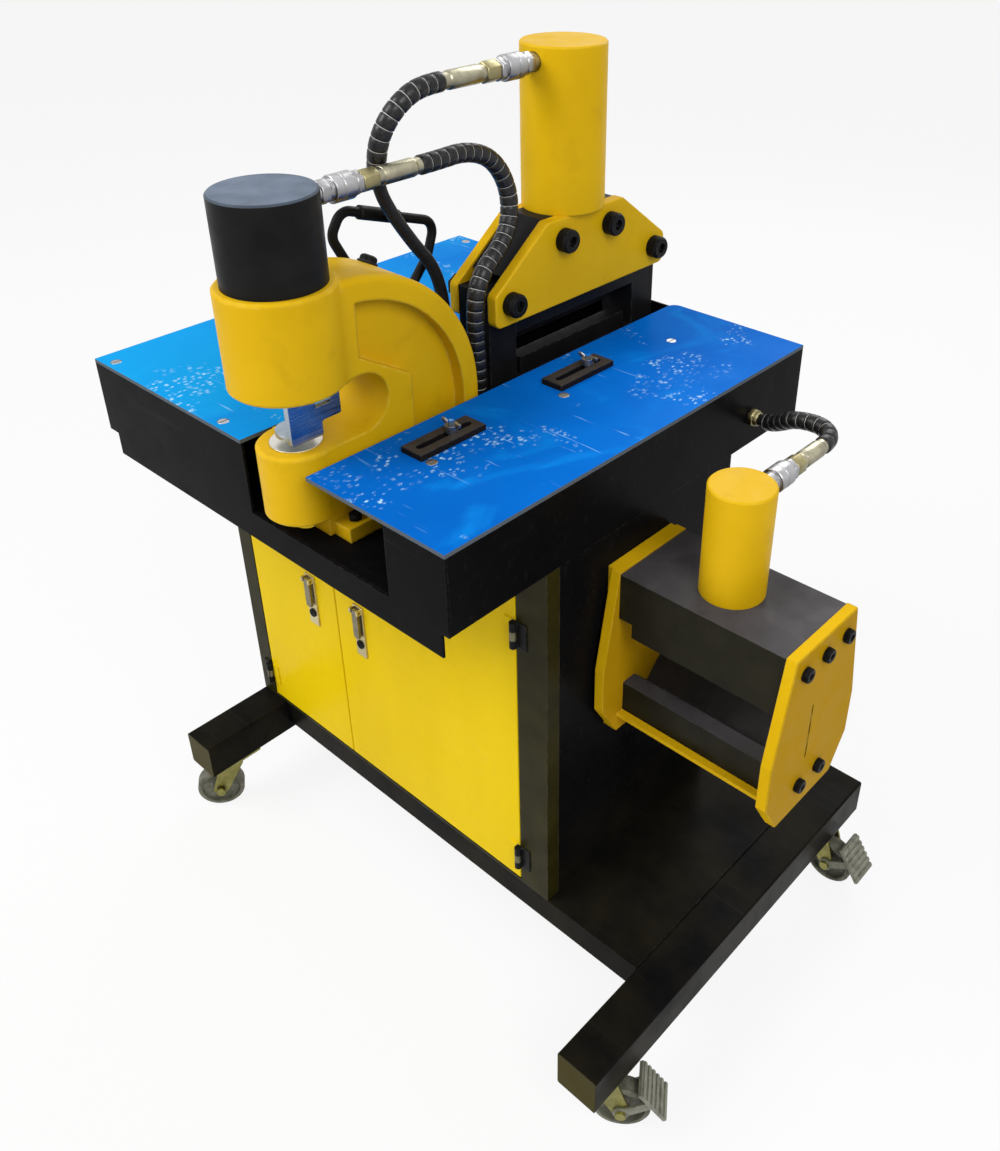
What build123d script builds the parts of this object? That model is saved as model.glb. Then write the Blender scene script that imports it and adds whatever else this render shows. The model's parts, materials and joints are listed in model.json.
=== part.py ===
"""Busbar machine on a wheeled cabinet: hole punch, bar cutter and side bender, fed by hydraulic hoses.

X runs along the doors from left to right, Y from the doors to the back, Z up, in millimetres.
The origin lies on the floor under the middle of the machine.
"""

import os
from math import cos, pi, radians, sin, sqrt, tan

from build123d import *

os.makedirs("parts", exist_ok=True)

# Table
table_width = 676
table_depth = 670
table_height = 820
left_panel_width = 331
slot_width = 124
unit_offset = 5
panel_thickness = 5
panel_corner = 14
apron_height = 100
sheet = 3
deck_thickness = 6
lip_drop = 32
lip_left_inset = 20
lip_right_inset = 11
notch_left_margin = 2
notch_right_margin = 128

# Panel screws
screw_head_radius = 7
screw_head_depth = 2.5
screw_shank_radius = 3
screw_length = 14
right_screw_from_slot = 78
right_screw_first = 115
right_screw_pitch = 223
left_screw_slot_inset = 54
left_screw_edge_inset = 30
screw_end_inset = 14

# Stop bars on the right panel
bar_width = 34
bar_length = 102
bar_thickness = 8
bar_slot_width = 9
bar_slot_length = 84
stud_radius = 4
stud_spare = 14
stud_from_slot = 53
front_stud_y = 170
rear_stud_y = 413
front_bar_shift = -12
rear_bar_shift = -19
wing_hub_radius = 8
wing_hub_height = 9
wing_span = 30
wing_height = 13
wing_thickness = 3

# Underframe and casters
leg_size = 60
leg_wall = 3
leg_length = 635
leg_front_overhang = 3
left_leg_inset = 26
right_leg_reach = 154
drain_radius = 4
beam_height = 38
beam_depth = 40
base_plate_thickness = 4
wheel_radius = 37.5
wheel_width = 24
caster_height = 104
caster_inset = 52
caster_trail = 25
caster_plate_length = 76
caster_plate_width = 56
caster_plate_thickness = 4
kingpin_radius = 7
kingpin_head_radius = 11
kingpin_head_height = 4
yoke_disc_radius = 22
yoke_disc_height = 8
cheek_thickness = 3
cheek_width = 26
cheek_gap = 1.5
axle_radius = 4
axle_head_radius = 7
tyre_depth = 7
hub_radius = 12
pedal_reach = 45
pedal_thickness = 5
pedal_width = 46
pedal_high_angle = 75
pedal_low_angle = -5
pedal_rib = 2
pedal_ribs = 6
pedal_arm_thickness = 3
pedal_arm_width = 12

# Cabinet and doors
cabinet_setback = 149
cabinet_depth = 363
cabinet_wall = 4
frame_depth = 22
left_post = 32
right_post = 49
door_sill = 4
door_rail = 39
left_door_width = 204
door_gap = 2
door_depth = 18
door_skin = 2
hinge_height = 38
hinge_barrel_radius = 5
hinge_pin_radius = 2.5
hinge_leaf_width = 18
hinge_leaf_thickness = 2
upper_hinge_drop = 70
lower_hinge_rise = 49
handle_rise = 20
handle_from_split = 55
handle_plate_width = 20
handle_plate_height = 90
handle_plate_thickness = 3
lever_width = 12
lever_length = 50
lever_margin = 4
lever_thickness = 4
lever_pin_radius = 2
lever_ear = 3

# Punch unit
punch_setback = 32
boss_radius = 46
boss_above_table = 12
boss_length = 90
slug_boss_radius = 14
slug_boss_length = 10
slug_hole_radius = 10.5
web_thickness = 90
frame_arc_radius = 194
frame_arc_setback = 55
frame_arc_above_table = 4
head_radius = 66
head_above_table = 85
head_length = 117
throat_reach = 66
pocket_depth = 18
pocket_rim = 28
pocket_margin = 3
head_blend = 40
jaw_top_front = 105
jaw_top_back = 60
jaw_back = 139
lug_width = 30
lug_length = 54
lug_height = 18
lug_offset = 6
lug_screw_setback = 20
cap_radius = 57
cap_height = 98
cap_chamfer = 2
spigot_radius = 50
spigot_depth = 62
punch_bore_radius = 40
punch_bore_top = 12
piston_length = 30
punch_rod_radius = 18
punch_rod_exposed = 15
punch_radius = 9
punch_lift = 17
stripper_radius = 22
stripper_clearance = 2
stripper_thickness = 8
stripper_front = 24
stripper_back = 19
stripper_arm_back = 46
stripper_arm_height = 45
stripper_corner = 3
stripper_foot = 6
stripper_gap = 10
window_start = 12
window_length = 22
window_height = 12
window_drop = 15
die_radius = 30
die_height = 21
die_proud = 1
die_clearance = 0.3

# Carry handle behind the punch frame
handle_rod_radius = 6
handle_grip_radius = 8.5
handle_grip_length = 60
grip_setback = 0.18
handle_offset = 14
handle_foot_radius = 9
handle_foot_cap = 2
handle_front_angle = 60
handle_rear_angle = 28
handle_bend_radius = 18
handle_reach = 100

# Cutter unit
unit_gap = 35
cutter_back_margin = 12
cutter_plate_thickness = 15
cutter_core = 54
cutter_top_half_width = 75
cutter_corner = 10
cutter_plate_bottom = 66
cutter_shoulder = 109
cutter_plate_top = 181
cutter_post_width = 48
cutter_post_inset = 2
head_block_inset = 5
head_block_bottom = 126
outer_bolt_inset = 26
outer_bolt_z = 95
inner_bolt_y = 46
inner_bolt_z = 153
cutter_cylinder_radius = 55
cutter_cylinder_height = 204
cutter_bore_radius = 42
cutter_bore_top = 10
cutter_bore_bottom = 14
cutter_rod_radius = 18
slide_height = 80
slide_play = 0.1
slide_top_gap = 3
blade_end_gap = 13
blade_thickness = 22
blade_height = 23
lower_blade_proud = 2
blade_play = 0.3

# Bender unit
pad_thickness = 7
bender_plate = 14
bender_gap = 228
bender_setback = 321
bender_drop = 150
bender_taper = 140
bender_straight = 65
bender_foot = 49
bender_top_half = 65
bender_half = 91
bender_bottom_half = 62
bender_block_height = 85
bender_block_relief = 2
bender_spacer = 20
bender_spacer_rise = 20
tie_plate_thickness = 5
tie_plate_rise = 25
die_block_height = 45
die_half_depth = 51
vee_half_width = 28
bender_cylinder_radius = 39.5
bender_cylinder_height = 143
bender_bore_radius = 30
bender_bore_top = 14
bender_bore_bottom = 12
bender_rod_radius = 14
bender_piston_length = 15
ram_length = 208
ram_half_depth = 20
ram_height = 80
ram_nose_drop = 31
ram_play = 0.1
top_screw_drop = 27
top_screw_pitch = 44.5
low_screw_pitch = 44
low_screw_rise = 11
gauge_groove_length = 82
gauge_groove_width = 4
gauge_groove_depth = 1.5
gauge_groove_y = -12
gauge_groove_rise = 78

# Screws
cutter_screw_head_radius = 15.5
cutter_screw_head = 17
cutter_screw_radius = 8
bender_screw_head_radius = 9
bender_screw_head = 8
bender_screw_radius = 6
bender_screw_length = 22
lug_screw_head_radius = 8
lug_screw_head = 8
lug_screw_radius = 5
socket_radius = 5
socket_depth = 5

# Hydraulic couplers, fittings and hoses
coupler_length = 66
fitting_length = 88
short_fitting_length = 72
port_radius = 6
port_depth = 10
seat_radius = 12
seat_depth = 1.6
coupler_nose_radius = 11
coupler_hex_radius = 14
coupler_collar_radius = 15.5
fitting_hex_radius = 13
ferrule_radius = 11
neck_radius = 10
punch_port_drop = 19
cutter_port_drop = 19
bender_port_drop = 25
deck_port_height = 24
deck_port_radius = 7
punch_port_x = 23
cutter_port_x = -33
apron_port_setback = 551
apron_port_drop = 63
apron_port_length = 14
route_step = 10
hose_diameter = 16
hose_bore = 8
guard_radius = 10.5
guard_valley = 9.4
guard_bore = 8.5
rib_pitch = 16
rib_share = 0.86
punch_guard_ribs = 27
cutter_guard_ribs = 9
bender_guard_ribs = 9

# Power unit in the cabinet
tank_length = 280
tank_depth = 240
tank_height = 230
tank_lid = 6
tank_margin = 40
motor_radius = 62
motor_height = 150
pump_radius = 40
pump_height = 36
manifold_length = 120
manifold_depth = 56
manifold_height = 50
manifold_port_depth = 16

casting_radius = 8
edge_chamfer = 1.5
fit_clearance = 0.2
running_clearance = 0.05
face_gap = 0.1

# Main planes and edges
pad_reach = pad_thickness + 2 * bender_plate + bender_gap + bender_screw_head
overall_width = table_width + pad_reach
table_left = -overall_width / 2
table_right = table_left + table_width
head_overhang = head_radius - punch_setback
table_front = -(table_depth + head_overhang) / 2 + head_overhang
table_back = table_front + table_depth
panel_bottom = table_height - panel_thickness
apron_bottom = panel_bottom - apron_height
deck_top = apron_bottom + deck_thickness
slot_left = table_left + left_panel_width
slot_right = slot_left + slot_width
unit_x = (slot_left + slot_right) / 2 + unit_offset
leg_top = caster_height + leg_size
left_leg = table_left + left_leg_inset
right_leg = table_right + right_leg_reach
leg_front = table_front - leg_front_overhang
leg_back = leg_front + leg_length
cabinet_front = table_front + cabinet_setback
cabinet_back = cabinet_front + cabinet_depth
door_left = left_leg + left_post
door_right = table_right - right_post
door_bottom = leg_top + door_sill
door_top = apron_bottom - door_rail
door_split = door_left + left_door_width
hinge_y = cabinet_front - hinge_barrel_radius
upper_hinge_z = door_top - upper_hinge_drop
lower_hinge_z = door_bottom + lower_hinge_rise
handle_height = (door_bottom + door_top) / 2 + handle_rise
lever_top = handle_height + handle_plate_height / 2 - lever_margin

punch_y = table_front + punch_setback
boss_top = table_height + boss_above_table
boss_bottom = boss_top - boss_length
head_bottom = table_height + head_above_table
head_top = head_bottom + head_length
cap_top = head_top + cap_height
arc_y = punch_y + frame_arc_setback
arc_z = table_height + frame_arc_above_table
frame_back = arc_y + frame_arc_radius

cutter_front = frame_back + unit_gap
cutter_back = table_back - cutter_back_margin
cutter_y = (cutter_front + cutter_back) / 2
cutter_half_width = (cutter_back - cutter_front) / 2
outer_bolt_y = cutter_half_width - outer_bolt_inset
post_outside = cutter_half_width - cutter_post_inset
post_inside = post_outside - cutter_post_width
blade_half_length = post_inside - blade_end_gap
cutter_top = table_height + cutter_plate_top
cutter_cylinder_top = cutter_top + cutter_cylinder_height

bender_y = table_front + bender_setback
inner_plate_x = table_right + pad_thickness
gap_left = inner_plate_x + bender_plate
gap_right = gap_left + bender_gap
outer_face_x = gap_right + bender_plate
bender_x = (gap_left + gap_right) / 2
bender_top = table_height - bender_drop
bender_widest_top = bender_top - bender_taper
bender_widest_bottom = bender_widest_top - bender_straight
bender_bottom = bender_widest_bottom - bender_foot
block_top = bender_top - bender_block_relief
block_bottom = block_top - bender_block_height
tie_bottom = bender_bottom + tie_plate_rise
vee_bottom = tie_bottom + tie_plate_thickness
vee_top = vee_bottom + die_block_height

stud_x = slot_right + stud_from_slot
stud_places = [(stud_x, table_front + front_stud_y), (stud_x, table_front + rear_stud_y)]
right_screw_x = slot_right + right_screw_from_slot
right_screws = [(right_screw_x, table_front + right_screw_first + i * right_screw_pitch) for i in range(3)]
left_screw_columns = (table_left + left_screw_edge_inset, slot_left - left_screw_slot_inset)
left_screw_rows = (table_front + screw_end_inset, (table_front + table_back) / 2, table_back - screw_end_inset)
left_screws = [(x, y) for x in left_screw_columns for y in left_screw_rows]

lug_y = punch_y + lug_offset
lug_screw_y = lug_y + lug_screw_setback
lug_screws = [(unit_x + side * (web_thickness + lug_width) / 2, lug_screw_y) for side in (-1, 1)]
deck_port_y = frame_back + unit_gap / 2
deck_ports = [(unit_x + port_x, deck_port_y) for port_x in (punch_port_x, cutter_port_x)]
apron_port_y = table_front + apron_port_setback
apron_port_z = table_height - apron_port_drop

punch_seat = (unit_x, punch_y + cap_radius - seat_depth, cap_top - punch_port_drop)
cutter_seat = (unit_x, cutter_y - cutter_cylinder_radius + seat_depth, cutter_cylinder_top - cutter_port_drop)
bender_cylinder_top = block_top + bender_cylinder_height
bender_seat = (bender_x, bender_y + bender_cylinder_radius - seat_depth, bender_cylinder_top - bender_port_drop)


def keep(builder, name):
    builder.part.label = name
    export_step(builder.part, f"parts/{name}.step")


def block(x, y, z, mode=Mode.ADD):
    with Locations(((x[0] + x[1]) / 2, (y[0] + y[1]) / 2, (z[0] + z[1]) / 2)):
        Box(x[1] - x[0], y[1] - y[0], z[1] - z[0], mode=mode)


def upright(x, y, z, radius, mode=Mode.ADD):
    with Locations((x, y, z[0])):
        Cylinder(radius, z[1] - z[0], align=(Align.CENTER, Align.CENTER, Align.MIN), mode=mode)


def eased_upright(x, y, z, radius, ease):
    """An upright round block with both rims chamfered."""
    upright(x, y, (z[0] + ease, z[1] - ease), radius)
    for end, near, far in ((z[0], radius - ease, radius), (z[1] - ease, radius, radius - ease)):
        with Locations((x, y, end)):
            Cone(near, far, ease, align=(Align.CENTER, Align.CENTER, Align.MIN))


def along_x(x, y, z, radius, mode=Mode.ADD):
    with Locations((x[0], y, z)):
        Cylinder(
            radius, x[1] - x[0], rotation=(0, 90, 0), align=(Align.CENTER, Align.CENTER, Align.MIN), mode=mode
        )


def along_y(x, y, z, radius, mode=Mode.ADD):
    with Locations((x, y[0], z)):
        Cylinder(
            radius, y[1] - y[0], rotation=(-90, 0, 0), align=(Align.CENTER, Align.CENTER, Align.MIN), mode=mode
        )


def middle(centre, size):
    return (centre - size / 2, centre + size / 2)


# Underframe
with BuildPart() as legs:
    for leg_x in (left_leg, right_leg):
        with BuildSketch(Plane.XZ.offset(-leg_back)):
            with Locations((leg_x + leg_size / 2, caster_height + leg_size / 2)):
                RectangleRounded(leg_size, leg_size, leg_wall)
        extrude(amount=leg_length)
        block(
            (leg_x + leg_wall, leg_x + leg_size - leg_wall),
            (leg_front + leg_wall, leg_back - leg_wall),
            (caster_height + leg_wall, leg_top - leg_wall),
            Mode.SUBTRACT,
        )
        drain_y = (leg_front + leg_back) / 2
        drain_z = (caster_height, caster_height + leg_wall)
        upright(leg_x + leg_size / 2, drain_y, drain_z, drain_radius, Mode.SUBTRACT)
keep(legs, "legs")

base_span = (left_leg + leg_size, right_leg)
beam_top = leg_top - base_plate_thickness
with BuildPart() as underframe:
    block(base_span, (cabinet_front, cabinet_back), (beam_top, leg_top))
    for beam_y in (cabinet_front, cabinet_back - beam_depth):
        block(base_span, (beam_y, beam_y + beam_depth), (beam_top - beam_height, beam_top))
        block(
            base_span,
            (beam_y + leg_wall, beam_y + beam_depth - leg_wall),
            (beam_top - beam_height + leg_wall, beam_top - leg_wall),
            Mode.SUBTRACT,
        )
keep(underframe, "underframe")

# Casters: each swivels on its kingpin, and rests turned to its own angle
left_caster_x = left_leg + leg_size / 2
right_caster_x = right_leg + leg_size / 2
front_caster_y = leg_front + caster_inset
rear_caster_y = leg_back - caster_inset
casters = {
    "front_left": (left_caster_x, front_caster_y, 235),
    "front_right": (right_caster_x, front_caster_y, 35),
    "rear_left": (left_caster_x, rear_caster_y, 120),
    "rear_right": (right_caster_x, rear_caster_y, 0),
}
braked = ("front_right", "rear_right")
disc_top = caster_height - caster_plate_thickness - face_gap
disc_bottom = disc_top - yoke_disc_height
cheek_inside = wheel_width / 2 + cheek_gap
cheek_outside = cheek_inside + cheek_thickness
arm_inside = cheek_outside + face_gap
arm_outside = arm_inside + pedal_arm_thickness

with BuildPart() as caster_plates:
    for caster_x, caster_y, caster_turn in casters.values():
        block(
            middle(caster_x, caster_plate_width),
            middle(caster_y, caster_plate_length),
            (caster_height - caster_plate_thickness, caster_height),
        )
        pin_bottom = disc_bottom - face_gap - kingpin_head_height
        upright(caster_x, caster_y, (pin_bottom, caster_height - caster_plate_thickness), kingpin_radius)
        upright(caster_x, caster_y, (pin_bottom, pin_bottom + kingpin_head_height), kingpin_head_radius)
keep(caster_plates, "caster_plates")


def caster_side(caster_x, caster_y, caster_turn):
    """Plane in the middle of the wheel: local x runs along the trail, local y up."""
    side = Vector(sin(radians(caster_turn)), -cos(radians(caster_turn)), 0)
    trail = (cos(radians(caster_turn)), sin(radians(caster_turn)), 0)
    return Plane(origin=(caster_x, caster_y, 0), x_dir=trail, z_dir=side)


for place, (caster_x, caster_y, caster_turn) in casters.items():
    wheel_plane = caster_side(caster_x, caster_y, caster_turn)
    axle = (caster_trail, wheel_radius)

    with BuildPart() as yoke:
        upright(caster_x, caster_y, (disc_bottom, disc_top), yoke_disc_radius)
        for face in (-cheek_outside, cheek_inside):
            with BuildSketch(wheel_plane.offset(face)):
                with BuildLine():
                    Polyline(
                        (-yoke_disc_radius * 0.8, disc_top),
                        (-yoke_disc_radius * 0.8, disc_bottom),
                        (caster_trail - cheek_width / 2, wheel_radius),
                        (caster_trail, wheel_radius - cheek_width / 2),
                        (caster_trail + cheek_width / 2, wheel_radius),
                        (yoke_disc_radius * 0.8, disc_top),
                        close=True,
                    )
                make_face()
            extrude(amount=cheek_thickness)
        with BuildSketch(wheel_plane.offset(-cheek_outside)):
            with Locations(axle):
                Circle(axle_radius)
        extrude(amount=2 * cheek_outside)
        for face in (-arm_outside - face_gap - axle_radius, cheek_outside):
            with BuildSketch(wheel_plane.offset(face)):
                with Locations(axle):
                    Circle(axle_radius)
            extrude(amount=arm_outside + face_gap + axle_radius - cheek_outside)
        for face in (-arm_outside - face_gap - axle_radius, arm_outside + face_gap):
            with BuildSketch(wheel_plane.offset(face)):
                with Locations(axle):
                    Circle(axle_head_radius)
            extrude(amount=axle_radius)
        upright(caster_x, caster_y, (disc_bottom, disc_top), kingpin_radius + running_clearance, Mode.SUBTRACT)
    keep(yoke, f"{place}_yoke")

    with BuildPart() as wheel:
        with BuildSketch(wheel_plane.offset(-wheel_width / 2)):
            with Locations(axle):
                Circle(wheel_radius)
        extrude(amount=wheel_width)
        chamfer(wheel.edges().filter_by(GeomType.CIRCLE), tyre_depth * 0.4)
        for face in (-wheel_width / 2, wheel_width / 2 - tyre_depth):
            with BuildSketch(wheel_plane.offset(face)):
                with Locations(axle):
                    Circle(wheel_radius - tyre_depth)
                    Circle(hub_radius, mode=Mode.SUBTRACT)
            extrude(amount=tyre_depth, mode=Mode.SUBTRACT)
        with BuildSketch(wheel_plane.offset(-wheel_width / 2)):
            with Locations(axle):
                Circle(axle_radius + running_clearance)
        extrude(amount=wheel_width, mode=Mode.SUBTRACT)
    keep(wheel, f"{place}_wheel")

    if place in braked:
        pedal_mid = (pedal_high_angle + pedal_low_angle) / 2
        pedal_half = pedal_reach * sin(radians((pedal_high_angle - pedal_low_angle) / 2))
        foot = wheel_plane.location * Pos(*axle) * Rot(0, 0, pedal_mid)
        foot_plane = Plane(foot)
        with BuildPart() as pedal:
            with BuildSketch(foot_plane.offset(-pedal_width / 2)):
                with Locations((pedal_reach, 0)):
                    Rectangle(pedal_thickness, 2 * pedal_half, align=(Align.MIN, Align.CENTER))
                with GridLocations(0, 2 * pedal_half / pedal_ribs, 1, pedal_ribs):
                    with Locations((pedal_reach + pedal_thickness, 0)):
                        Rectangle(pedal_rib, pedal_half / pedal_ribs, align=(Align.MIN, Align.CENTER))
            extrude(amount=pedal_width)
            for face in (-arm_outside, arm_inside):
                with BuildSketch(foot_plane.offset(face)):
                    Circle(pedal_arm_width / 2 + axle_radius)
                    Rectangle(pedal_reach, pedal_arm_width, align=(Align.MIN, Align.CENTER))
                    Circle(axle_radius + running_clearance, mode=Mode.SUBTRACT)
                extrude(amount=pedal_arm_thickness)
        keep(pedal, f"{place}_brake_pedal")

# Cabinet
cabinet_height = (leg_top, apron_bottom)
with BuildPart() as cabinet_side_walls:
    wall_depth = (cabinet_front + frame_depth, cabinet_back - cabinet_wall)
    for wall_x in (left_leg, table_right - cabinet_wall):
        block((wall_x, wall_x + cabinet_wall), wall_depth, cabinet_height)
keep(cabinet_side_walls, "cabinet_side_walls")

with BuildPart() as cabinet_back_wall:
    block((left_leg, table_right), (cabinet_back - cabinet_wall, cabinet_back), cabinet_height)
keep(cabinet_back_wall, "cabinet_back_wall")

with BuildPart() as door_frame:
    frame_y = (cabinet_front, cabinet_front + frame_depth)
    block((left_leg, table_right), frame_y, cabinet_height)
    block((door_left, door_right), frame_y, (door_bottom, door_top), Mode.SUBTRACT)
keep(door_frame, "door_frame")

# Doors: each hangs on two surface hinges and carries a pull handle by the split
hinge_heights = (lower_hinge_z, upper_hinge_z)
knuckle = hinge_height / 3
with BuildPart() as door_hinges:
    for hinge_x, outward in ((door_left + door_gap / 2, -1), (door_right - door_gap / 2, 1)):
        for hinge_z in hinge_heights:
            leaf_x = sorted((hinge_x, hinge_x + outward * hinge_leaf_width))
            block(leaf_x, (cabinet_front - hinge_leaf_thickness, cabinet_front), middle(hinge_z, hinge_height))
            upright(hinge_x, hinge_y, middle(hinge_z, hinge_height), hinge_barrel_radius)
            upright(
                hinge_x,
                hinge_y,
                middle(hinge_z, knuckle + 2 * face_gap),
                hinge_barrel_radius + 5 * face_gap,
                Mode.SUBTRACT,
            )
            upright(hinge_x, hinge_y, middle(hinge_z, hinge_height), hinge_pin_radius)
keep(door_hinges, "door_hinges")

plate_front = cabinet_front - handle_plate_thickness
lever_y = plate_front - lever_thickness
lever_axis_z = lever_top - lever_thickness / 2 - face_gap
ear_front = lever_y - lever_thickness


def door(name, door_x, hinge_x, towards_split, handle_x):
    with BuildPart() as panel:
        door_z = (door_bottom + door_gap, door_top - door_gap)
        block(door_x, (cabinet_front, cabinet_front + door_depth), door_z)
        chamfer(panel.faces().sort_by(Axis.Y)[0].edges(), door_skin / 2)
        block(
            (door_x[0] + door_skin, door_x[1] - door_skin),
            (cabinet_front + door_skin, cabinet_front + door_depth),
            (door_z[0] + door_skin, door_z[1] - door_skin),
            Mode.SUBTRACT,
        )
        for hinge_z in hinge_heights:
            leaf_x = sorted((hinge_x, hinge_x + towards_split * hinge_leaf_width))
            leaf_y = (cabinet_front - hinge_leaf_thickness, cabinet_front)
            block(leaf_x, leaf_y, middle(hinge_z, hinge_height))
            for end in (-1, 1):
                upright(
                    hinge_x,
                    hinge_y,
                    middle(hinge_z + end * knuckle, knuckle),
                    hinge_barrel_radius + 5 * face_gap,
                    Mode.SUBTRACT,
                )
            upright(hinge_x, hinge_y, middle(hinge_z, knuckle), hinge_barrel_radius)
            pin_hole = hinge_pin_radius + running_clearance
            upright(hinge_x, hinge_y, middle(hinge_z, knuckle), pin_hole, Mode.SUBTRACT)
        block(
            middle(handle_x, handle_plate_width),
            (plate_front, cabinet_front),
            middle(handle_height, handle_plate_height),
        )
        for ear in (-1, 1):
            ear_x = handle_x + ear * (lever_width / 2 + face_gap + lever_ear / 2)
            block(
                middle(ear_x, lever_ear),
                (ear_front, plate_front),
                middle(lever_axis_z, 2 * lever_thickness),
            )
            ear_hole = lever_pin_radius + running_clearance
            along_x(middle(ear_x, lever_ear), lever_y, lever_axis_z, ear_hole, Mode.SUBTRACT)
    keep(panel, name)


def door_lever(name, handle_x):
    with BuildPart() as lever:
        lever_z = (lever_top - lever_length, lever_top)
        block(middle(handle_x, lever_width), middle(lever_y, lever_thickness), lever_z)
        fillet(lever.edges().filter_by(Axis.Y).group_by(Axis.Z)[0], lever_width / 4)
        pin_length = lever_width + 2 * (face_gap + lever_ear)
        along_x(middle(handle_x, pin_length), lever_y, lever_axis_z, lever_pin_radius)
    keep(lever, name)


left_handle_x = door_split - handle_from_split
right_handle_x = door_split + handle_from_split
left_door_x = (door_left + door_gap, door_split - door_gap / 2)
right_door_x = (door_split + door_gap / 2, door_right - door_gap)
door("left_door", left_door_x, door_left + door_gap / 2, 1, left_handle_x)
door("right_door", right_door_x, door_right - door_gap / 2, -1, right_handle_x)
door_lever("left_door_lever", left_handle_x)
door_lever("right_door_lever", right_handle_x)

# Table
tray_x = (table_left + sheet, table_right - sheet)
tray_y = (table_front + sheet, table_back - sheet)
with BuildPart() as table_deck:
    block(tray_x, tray_y, (apron_bottom, deck_top))
    rail_y = (lug_y + lug_length + sheet, tray_y[1])
    for rail_x in (slot_left - sheet, slot_right):
        block((rail_x, rail_x + sheet), rail_y, (deck_top, panel_bottom))
    for lug_screw in lug_screws:
        upright(*lug_screw, (apron_bottom, deck_top), lug_screw_radius + fit_clearance, Mode.SUBTRACT)
    for port in deck_ports:
        upright(*port, (apron_bottom, deck_top), deck_port_radius + fit_clearance, Mode.SUBTRACT)
    upright(unit_x, punch_y, (apron_bottom, deck_top), slug_boss_radius, Mode.SUBTRACT)
keep(table_deck, "table_deck")

with BuildPart() as front_apron:
    apron_y = (table_front, table_front + sheet)
    block((table_left, table_right), apron_y, (apron_bottom, panel_bottom))
    lip_x = (table_left + lip_left_inset, table_right - lip_right_inset)
    block(lip_x, apron_y, (apron_bottom - lip_drop, apron_bottom))
    notch_x = (slot_left + notch_left_margin, slot_right + notch_right_margin)
    block(notch_x, apron_y, (deck_top, panel_bottom), Mode.SUBTRACT)
keep(front_apron, "front_apron")

with BuildPart() as rear_apron:
    block((table_left, table_right), (table_back - sheet, table_back), (apron_bottom, panel_bottom))
keep(rear_apron, "rear_apron")

with BuildPart() as side_aprons:
    for apron_x in (table_left, table_right - sheet):
        block((apron_x, apron_x + sheet), tray_y, (apron_bottom, panel_bottom))
    port_span = (table_right - sheet, table_right)
    along_x(port_span, apron_port_y, apron_port_z, deck_port_radius + fit_clearance, Mode.SUBTRACT)
keep(side_aprons, "side_aprons")

panel_z = (panel_bottom, table_height)


def screw_holes(places):
    for place in places:
        upright(*place, panel_z, screw_shank_radius + fit_clearance, Mode.SUBTRACT)
        head_z = (table_height - screw_head_depth - fit_clearance, table_height)
        upright(*place, head_z, screw_head_radius + fit_clearance, Mode.SUBTRACT)


with BuildPart() as left_panel:
    block((table_left, slot_left), (table_front, table_back), panel_z)
    screw_holes(left_screws)
keep(left_panel, "left_panel")

with BuildPart() as right_panel:
    block((slot_right, table_right), (table_front, table_back), panel_z)
    rear_edges = right_panel.edges().filter_by(Axis.Z).group_by(Axis.Y)[-1]
    fillet(rear_edges.sort_by(Axis.X)[0], panel_corner)
    screw_holes(right_screws)
    stud_top = table_height + bar_thickness + stud_spare
    for stud in stud_places:
        upright(*stud, (panel_bottom, stud_top), stud_radius)
keep(right_panel, "right_panel")

with BuildPart() as panel_screws:
    for place in left_screws + right_screws:
        upright(*place, (table_height - screw_head_depth, table_height), screw_head_radius)
        upright(*place, (table_height - screw_length, table_height), screw_shank_radius)
        drive_z = (table_height - screw_head_depth / 2, table_height)
        upright(*place, drive_z, screw_shank_radius / 2, Mode.SUBTRACT)
keep(panel_screws, "panel_screws")

# Stop bars slide along their slots once the wing nuts are slack
bar_bottom = table_height + face_gap
nut_bottom = bar_bottom + bar_thickness + face_gap
for place, (stop_x, stop_y), bar_shift in (
    ("front", stud_places[0], front_bar_shift),
    ("rear", stud_places[1], rear_bar_shift),
):
    with BuildPart() as stop_bar:
        with BuildSketch(Plane.XY.offset(bar_bottom)):
            with Locations((stop_x, stop_y + bar_shift)):
                Rectangle(bar_width, bar_length)
                SlotOverall(bar_slot_length, bar_slot_width, rotation=90, mode=Mode.SUBTRACT)
        extrude(amount=bar_thickness)
        chamfer(stop_bar.edges().group_by(Axis.Z)[-1].filter_by(GeomType.LINE), edge_chamfer / 2)
    keep(stop_bar, f"{place}_stop_bar")

    with BuildPart() as wing_nut:
        upright(stop_x, stop_y, (nut_bottom, nut_bottom + wing_hub_height), wing_hub_radius)
        with BuildSketch(Plane.XZ.offset(-stop_y - wing_thickness / 2)):
            for side in (-1, 1):
                with BuildLine():
                    Polyline(
                        (stop_x, nut_bottom + wing_hub_height * 0.4),
                        (stop_x + side * wing_span / 2, nut_bottom + wing_height * 0.7),
                        (stop_x + side * wing_span / 2, nut_bottom + wing_height),
                        (stop_x + side * wing_span * 0.36, nut_bottom + wing_height),
                        (stop_x, nut_bottom + wing_hub_height),
                        close=True,
                    )
                make_face()
        extrude(amount=wing_thickness)
        nut_bore = stud_radius + running_clearance
        upright(stop_x, stop_y, (nut_bottom, nut_bottom + wing_height), nut_bore, Mode.SUBTRACT)
    keep(wing_nut, f"{place}_wing_nut")

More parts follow.
